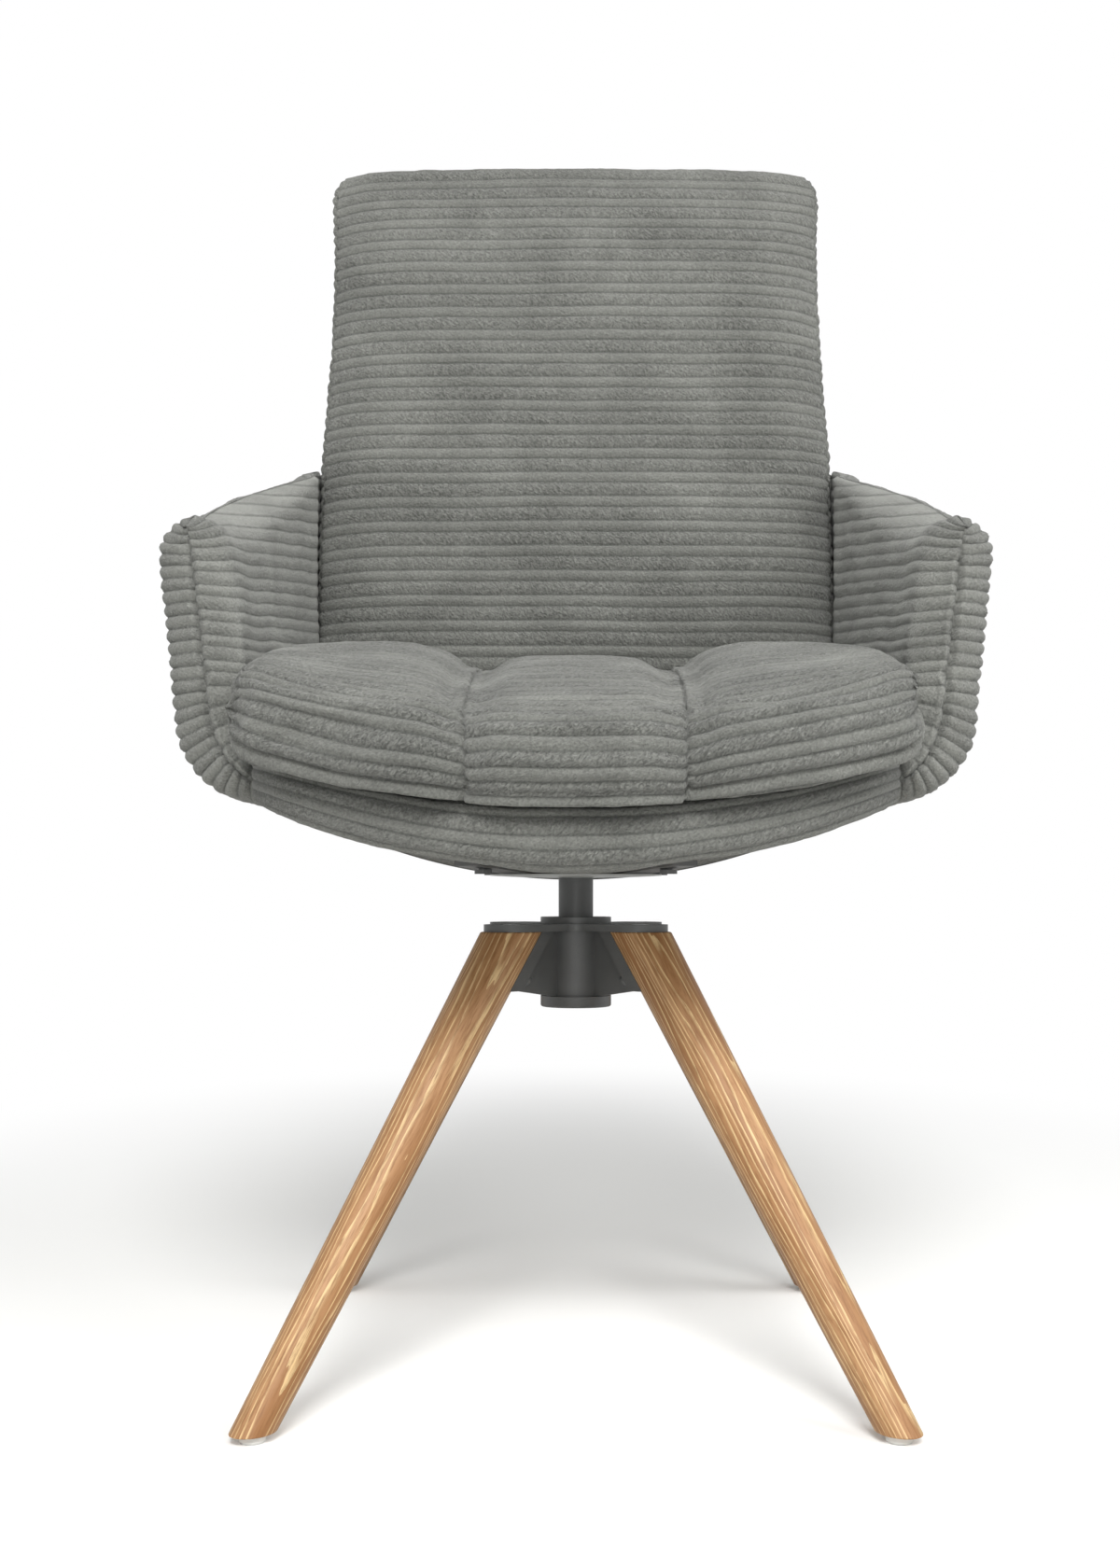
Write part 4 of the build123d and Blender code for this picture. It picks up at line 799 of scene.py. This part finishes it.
def arc3(start, middle, end, count):
    """Points on the round arc through three points of a plane."""
    (ax, ay), (bx, by), (cx, cy) = start, middle, end
    d = 2 * (ax * (by - cy) + bx * (cy - ay) + cx * (ay - by))
    ux = ((ax**2 + ay**2) * (by - cy) + (bx**2 + by**2) * (cy - ay) + (cx**2 + cy**2) * (ay - by)) / d
    uy = ((ax**2 + ay**2) * (cx - bx) + (bx**2 + by**2) * (ax - cx) + (cx**2 + cy**2) * (bx - ax)) / d
    turns = np.unwrap([math.atan2(y - uy, x - ux) for x, y in (start, middle, end)])
    angles = np.interp(np.linspace(0, 1, count), [0, 0.5, 1], turns)
    radius = math.hypot(ax - ux, ay - uy)
    return [(ux + radius * math.cos(t), uy + radius * math.sin(t)) for t in angles]


print("Half a circle in three points:", np.round(arc3((-1, 0), (0, 1), (1, 0), 3), 3).tolist())


# %% Arm: an upright slice
def arm_curves(back):
    """The inner and outer side of the arm's upright slice at that share of its length."""
    rise, draw, inner = (np.interp(back, arm_back, sizes) for sizes in (arm_rise, arm_draw, arm_inner))
    inner = inner + 10.4 * ease(ramp(back - 0.82, 0.11))
    outer, low_outer = 269.5 - 32.5 * draw, 258 - 21 * draw
    top = 581 + 110 * rise
    ridge_x = inner + (outer - inner) * (0.5 - 0.36 * ease(ramp(back - 0.5, 0.4)))
    half_in, half_out, drop = ridge_x - inner, outer - ridge_x, (outer - inner) / 2
    turns = np.radians(np.linspace(0, 90, 9))
    corner = (205.3 + 0.70 * (low_outer - 205.3), 392 + 0.36 * 44)
    inside = [(205.6, inner_foot), (206.8, 436)]
    inside += [(ridge_x - half_in * math.cos(t), top - half_in * (1 - math.sin(t))) for t in turns]
    outside = arc3((205.6, 392.4), corner, (low_outer, 436), 9)
    outside += [(ridge_x + half_out * math.cos(t), top - drop * (1 - math.sin(t))) for t in turns]
    return np.array(inside), np.array(outside)


def arm_side(curve, split_z, ribs):
    """Points of one side of a slice at those ribs, which fan below the split height."""
    run = lengths(curve)
    split = np.interp(split_z, curve[:, 1], run)
    at = np.interp(ribs, [0, fan_ribs, arm_ribs], [0, split, run[-1]])
    return np.stack([np.interp(at, run, curve[:, 0]), np.interp(at, run, curve[:, 1])], -1)


print("Arm slice at the front:", arm_curves(0.062)[0][-1].round(1))

# %% Arm: base form
rib_levels = np.concatenate([[0, 0.3], np.linspace(0.9, 25.1, 34), [25.6, 25.93]])
nose = np.radians(np.linspace(0, 180, 15))
nose_share = nose_depth / arm_length
side_backs = np.linspace(1.0, nose_share + 0.02, 30)
columns = [(b, -1.0) for b in side_backs] + [(nose_share * (1 - math.sin(a)), -math.cos(a)) for a in nose]
columns += [(b, 1.0) for b in side_backs[::-1]] + [(1.0, 0.6), (1.0, 0.0), (1.0, -0.6)]
grid = np.zeros((len(rib_levels), len(columns), 3))
for n, (back, side) in enumerate(columns):
    inside, outside = arm_curves(back)
    split_z = inner_foot + 0.307 * (inside[-1, 1] - inner_foot)
    inner_points, outer_points = (arm_side(curve, split_z, rib_levels) for curve in (inside, outside))
    section = (inner_points + outer_points) / 2 + (outer_points - inner_points) / 2 * side
    front_gap = max(0.0, 1 - back * arm_length / nose_depth)
    section[:, 1] -= 11 * front_gap**2 * ramp(rib_levels - 17, 9) ** 2
    rear = board_front(section[:, 1]) - 0.8
    front = arm_front + 3.0 * (rib_levels < 2) * (2 - rib_levels)
    grid[:, n] = np.stack([section[:, 0], front + (rear - front) * back, section[:, 1]], -1)
print("Arm grid:", grid.shape)

# %% Arm: swell
seam = len(side_backs) + len(nose) // 2
column_hold = np.interp(np.arange(grid.shape[1]), [0, 6, 16, 29, 33, 40, 52, 68, 72],
                        [1, 0.97, 0.9, 0.75, 0.6, 0.4, 0.35, 0.9, 1])
row_hold = np.interp(np.arange(grid.shape[0]), [0, 3, 9, 30, 37], [1, 0.95, 0.3, 0.0, 0.5])
held = np.maximum(column_hold, row_hold[:, None])
held[:, -3:] = 1
held[:, seam] = 0.7
swelled = swell("arm_form", grid, held, 2.5)
grid = grid + (swelled - grid) * np.array([1, 1, 0.25])

# %% Arm: rows and rings
rib_rows = np.concatenate([[0.03], np.arange(1, int(arm_ribs) * 8) / 8, [arm_ribs - 0.06]])
ring = lengths(grid[22], closed=True)
seam_run, fold_run, end_run = ring[[seam, len(side_backs) + 1, -4]]
points, run = sleeve(grid, index_at(rib_levels, spread(rib_rows)), ring,
                     [seam_run - 6, seam_run + 6, end_run], [3.6, 0.85, 3.6, 9.0])
level = rib_rows[:, None]
print("Arm points:", points.shape)

# %% [markdown]
# The ribs of the inner face don't bend with its top edge. They run level to the rear on lines
# that fan out from a point far in front, and come out one by one at the sloping ridge. So each
# point there is first carried along its line to the fold at the front, and takes its rib there.

# %% Arm: ribs
inner_side = run < seam_run
at_fold = points[:, np.argmin(np.abs(run[0] - fold_run))]
wrapped = np.concatenate([points, points[:, :1]], 1)
as_at_fold = fan_low + (wrapped[..., 2] - fan_low) * (fan_depth + at_fold[20, 1]) / (
    fan_depth + wrapped[..., 1])
fanned = np.interp(as_at_fold, at_fold[:, 2], rib_rows)
even_part = np.interp([fan_ribs + 1, arm_ribs - 7], rib_rows, at_fold[:, 2])
even_rib = (even_part[1] - even_part[0]) / (arm_ribs - 8 - fan_ribs)
even = fan_ribs + 1 + (as_at_fold - even_part[0]) / even_rib
fanned = np.where(even > arm_ribs - 9, fanned + (even - fanned) * ramp(fold_run - run, 45), fanned)
on_inner_face = inner_side & (run < fold_run) & (level > fan_ribs - 2)
bunched = np.where(inner_side & (level < fan_ribs), fan_ribs - (fan_ribs - level) / 2, level)
bunched = np.where(on_inner_face, bunched + ramp(level - fan_ribs + 2, 4) * (fanned - level), bunched)
ribs = bunched + np.where(inner_side, 0.0, 0.5) + 0.09 * ripple(run, level * 9, 33, 90)
print("Ribs on the arm:", round(float(ribs.max() - ribs.min())))

# %% Arm: worn fold, seam and covers
fold = bell(run - fold_run, 13) * ramp(level - 8, 3) * ramp(25 - level, 3)
fold = fold * (0.75 + 0.35 * ripple(run, level * 9, 35, 40))
inner_face = ramp(fold_run - run, 20)
low_inside = np.where(inner_side, np.maximum(ramp(level - 2, 7), 0.15), 1)
at_end = ramp(np.minimum(level, arm_ribs - level), 1.2)
depth = (2.5 - 1.5 * inner_face) * at_end * low_inside * (1 - 0.8 * np.clip(fold, 0, 1))
off_seam = run - seam_run + ripple(run * 0, level * 9, 37, 25)
sewn = ramp(arm_ribs - 1.5 - level, 3) * ramp(level, 1.5)
pull = (3.0 * bell(off_seam, 1.7) - 1.6 * bell(np.abs(off_seam) - 4.2, 2.0)) * sewn
# The fold is rubbed smooth and lighter, which is wear. The inner face is painted lighter as well, as
# painted light in place of the side light that reaches it. The whole arm starts from a lighter base than
# the other pieces.
wear_and_painted_light = np.clip(0.40 + 0.6 * fold + 0.6 * inner_face + 0.12 * ripple(run, level * 9, 39, 100), 0, 1)
for side, node_name in ((1, "arm_pad_left"), (-1, "arm_pad_right")):
    upholster(node_name.replace("pad", "cover"), points * np.array([side, 1, 1]), ribs, run, depth, wear_and_painted_light,
              pull, 41 + side, node_name)

# %% [markdown]
# Bucket pad. The padded bowl that carries the seat cushion, round in section from side to side
# and bowed at its front lip. Here the ribs run from side to side, so its loops are upright rings
# in the other direction, and the lines of the lip follow the bowl's curve. It stands for the
# layer of seat foam under its top as well, which no side shows.

# %% Bucket pad: plan and section
lip_radius = 369.3


def along_line(points, shares):
    """Points at those shares of a broken line's length."""
    points = np.array(points, float)
    run = lengths(points)
    return np.stack([np.interp(np.asarray(shares) * run[-1], run, points[:, n])
                     for n in range(points.shape[1])], -1)


def bucket_section(x, front):
    """The closed section of the bucket pad at x: underside, lip, top and rear."""
    under, over = float(bowl(x, 346.7, 45.6)) + 0.4, float(bowl(x, 385.2, 33))
    middle, half, nose = (under + over) / 2, (over - under) / 2, 15.0
    rear_low, rear_high = board_front(under) - 1, board_front(over) - 1
    hollow = 0.3 + 2.7 * math.exp(-((abs(x) - 70) / 30) ** 2)
    lip = [(front + nose * (1 - math.cos(a) ** (0.8 if a < 0 else 0.6)),
            middle + half * math.sin(a) + 0.6 * hollow * max(0.0, -math.sin(a)))
           for a in np.radians([-75, -55, -35, -18, 0, 18, 35, 55, 75])]
    under_side = [(y, under + hollow * min(1.0, 0.6 + (y - front - nose - 3) / 100))
                  for y in np.linspace(rear_low, front + nose + 3, 36)]
    top_side = [(y, over) for y in np.linspace(front + nose + 3, rear_high, 24)]
    return np.array(under_side + lip + top_side + [(rear_high, middle)])


plan_half = [(x, -262 + lip_radius - math.sqrt(lip_radius**2 - x**2)) for x in np.linspace(0, 160, 30)]
plan_half += arc3((160, -225.2), (189.5, -200.0), (204.4, -163.0), 12)[1:] + [(204.6, -152.0)]
half_places = along_line(plan_half, np.concatenate([np.linspace(0, 0.93, 22), [0.955, 0.975, 0.99, 1.0]]))
plan = np.concatenate([half_places[:0:-1] * [-1, 1], half_places])
grid = np.array([np.insert(bucket_section(x, y), 0, x, axis=1) for x, y in plan])
print("Bucket grid:", grid.shape)

# %% Bucket pad: swell
held = np.zeros(grid.shape[:2])
held[:, :30] = 1
held[:, 30:36] = 0.7
held[:, 41:45] = [0.4, 0.7, 0.9, 1.0]
held[:, 45:] = 1
held[[0, 1, 2, -3, -2, -1]] = 1
grid = swell("bucket_form", grid, held, 2.5)

# %% Bucket pad: ribs
ring = lengths(grid[grid.shape[0] // 2], closed=True)
top_start = ring[47]
rib_size = 9.9
turns_run = stations(ring[-1], [top_start + 12], [rib_size / 8, 14.0])
turns_at = index_at(ring, spread(turns_run / rib_size) * rib_size)
cross = lengths(grid[:, 20])
points, run = crosswise(grid, cross, [30, cross[-1] - 30], [2.4, 4.6, 2.4], turns_at)
ribs = turns_run / rib_size + 0 * run
ribs = ribs + 0.12 * ripple(run, ribs * 10, 51, 130)
shown = ramp(top_start + 8 - turns_run, 8) * ramp(turns_run - 4, 8)
depth = 1.7 * ramp(np.minimum(run, cross[-1] - run), 10) * shown
wear_and_painted_light = 0.10 + 0.12 * ripple(run, ribs * 10, 53, 110)
print("Bucket points:", points.shape)

# %% [markdown]
# The black spider lies in a shallow cross cut into the bucket's underside, and the round grey
# cover in a recess at its middle. Both stay seen from below, so the cloth is lifted over them.

# %% Bucket pad: room for the spider and the cover
x, y, z = np.moveaxis(points, -1, 0)
underneath = z < bowl(x, 346, 46) + 8
room = ramp(66 - np.hypot(x, y), 3) * 6.5
for azimuth in (45, 135):
    c, s = math.cos(math.radians(azimuth)), math.sin(math.radians(azimuth))
    lengthwise, sidewise = np.abs(x * c + y * s), np.abs(y * c - x * s)
    room = np.maximum(room, ramp(108 - lengthwise, 3) * ramp(17 - sidewise, 3) * 13)
flat = np.where(underneath, 1 - ramp(room, 4), 1)
depth = depth * np.concatenate([flat, flat[:, :1]], 1)
points[..., 2] += np.where(underneath, room, 0)
bucket = upholster("bucket_cover", points, ribs, run, depth, wear_and_painted_light, 0.0, 55, "bucket_pad")
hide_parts("seat_foam")

# %% [markdown]
# Seat cushion. Three crowned pads side by side, drawn in by two sewn channels, with ribs that
# run from side to side. On the front face the ribs are deep. On top, where people sit, the
# pile is brushed nearly smooth. The bottom edge has a rolled welt, and at each end the
# pad rolls over and its ribs draw together.

# %% Seat cushion: section
channel_x, channel_wide, seat_half = 64.4, 14.4, 204.5


def before_board(z):
    """How far back the cushion may reach at that height, just short of the leaning back board."""
    return board_front(z) - 2


def seat_section(x, squeeze):
    """The closed section of the seat cushion at x: underside, foot, front, top and rear."""
    out = min(abs(x) / seat_half, 1.0)
    sewn = math.exp(-((abs(x) - channel_x) / channel_wide) ** 2)
    lobe = abs(math.sin(math.pi * (abs(x) + channel_x) / (2 * channel_x))) if abs(x) < channel_x else (
        math.sin(math.pi * min((abs(x) - channel_x) / 142.0, 1.0)))
    rolled = max((out - 0.90) / 0.10, 0)
    plump = (0.74 + 0.26 * max(1 - rolled**2.2, 0) ** 0.5) * squeeze
    front = -288 + 50 * out**2 + 8 * sewn + 14 * (1 - plump)
    sink = 12 * sewn - 2.5 * lobe
    heights = [385.6 + 33 * out**2, 446 + 34 * out**2 - sink / 2, 493 + 9 * ramp(out - 0.30, 0.25) - sink,
               474 + 12 * out**2 - sink / 4]
    level = (heights[0] + heights[1]) / 2
    foot, nose, crown, rear = [level + (z - level) * plump for z in heights]
    hang = (1.2 + 3.6 * out**2) * min(plump, 1.0)
    front_arc = arc3((front + 13, foot - hang), (front, (foot + nose) / 2 - 2), (front + 27, nose), 14)
    top_arc = arc3((front + 27, nose), (-110, crown), (before_board(rear) - 3, rear), 44)[1:]
    under = [(y, foot) for y in np.linspace(before_board(foot) - 3, front + 30, 15)]
    under.append((front + 20, foot - 0.5 * hang))
    back = [(before_board(z), z) for z in (rear + (foot - rear) * s for s in (0.2, 0.5, 0.8))]
    return np.array(under + front_arc + top_arc + back)


edge_x = seat_half * (0.90 + 0.10 * np.sin(np.radians([10, 22, 34, 46, 58, 70, 80, 90])))
half_x = np.concatenate([np.linspace(0, 184.0, 26), edge_x, [205.9, 206.8, 207.2]])
squeezes = np.concatenate([np.ones(34), [0.86, 0.55, 0.08]])
places = np.concatenate([-half_x[:0:-1], half_x])
squeezes = np.concatenate([squeezes[:0:-1], squeezes])
grid = np.array([np.insert(seat_section(x, s), 0, x, axis=1) for x, s in zip(places, squeezes)])
print("Seat cushion grid:", grid.shape)

# %% Seat cushion: swell
held = np.zeros(grid.shape[:2])
held[:, :16] = 1
held[:, 16:20] = [0.97, 0.9, 0.7, 0.4]
held[:, -3:] = 1
held[np.abs(np.abs(places) - channel_x) < 5] = np.maximum(held[0], 0.85)
grid = swell("seat_cushion_form", grid, held, 5.0)

# %% Seat cushion: rings and rows
ring = lengths(grid[grid.shape[0] // 2], closed=True)
foot_run, nose_run, rear_run = ring[[16, 29, 72]]
rib_size = 9.5
turns_run = stations(ring[-1], [foot_run - 14, rear_run + 6], [14.0, rib_size / 8, 14.0])
paired = foot_run + (spread((turns_run - foot_run) / rib_size + 200) - 200) * rib_size
cross = lengths(grid[:, 40])
channel_runs = np.interp([-channel_x, channel_x], grid[:, 40, 0], cross)
first, last = channel_runs
changes = [45, first - 6, first + 6, last - 6, last + 6, cross[-1] - 45]
points, run = crosswise(grid, cross, changes, [2.6, 4.4, 0.95, 4.4, 0.95, 4.4, 2.6], index_at(ring, paired))
ribs = (turns_run - foot_run) / rib_size + 200 + 0 * run
print("Seat cushion points:", points.shape)

# %% Seat cushion: ribs, channels, welt and cover
off_channels = np.minimum(*(np.abs(run - channel_runs[n] + 1.2 * ripple(ribs * 10, run * 0, 61 + n, 30))
                            for n in (0, 1)))
middle_pad = (run > channel_runs[0]) & (run < channel_runs[1])
ribs = ribs + np.where(middle_pad, 0.35, 0.0) + 0.13 * ripple(run, ribs * 10, 63, 110)
past_foot = turns_run - foot_run
front_face = ramp(nose_run + 30 - turns_run, 40)
on_top = 1 - front_face
ends = ramp(np.minimum(run, cross[-1] - run), 5)
ribbed = ramp(past_foot + 12, 8) * ramp(rear_run - turns_run, 10)
depth = (0.9 + 1.7 * front_face) * ribbed * ends
channels = 3.0 * bell(off_channels, 1.5) * ramp(past_foot + 4, 6)
welt = 2.0 * bell(past_foot - 2, 4.0) - 1.6 * bell(past_foot - 9.5, 1.4)
wear_and_painted_light = np.clip(0.04 + 0.12 * on_top + (0.14 + 0.12 * on_top) * ripple(run, ribs * 10, 67, 70), 0, 1)
upholster("seat_cushion_cover", points, ribs, run, depth, wear_and_painted_light, (channels - welt) * ends, 71,
          "seat_cushion")
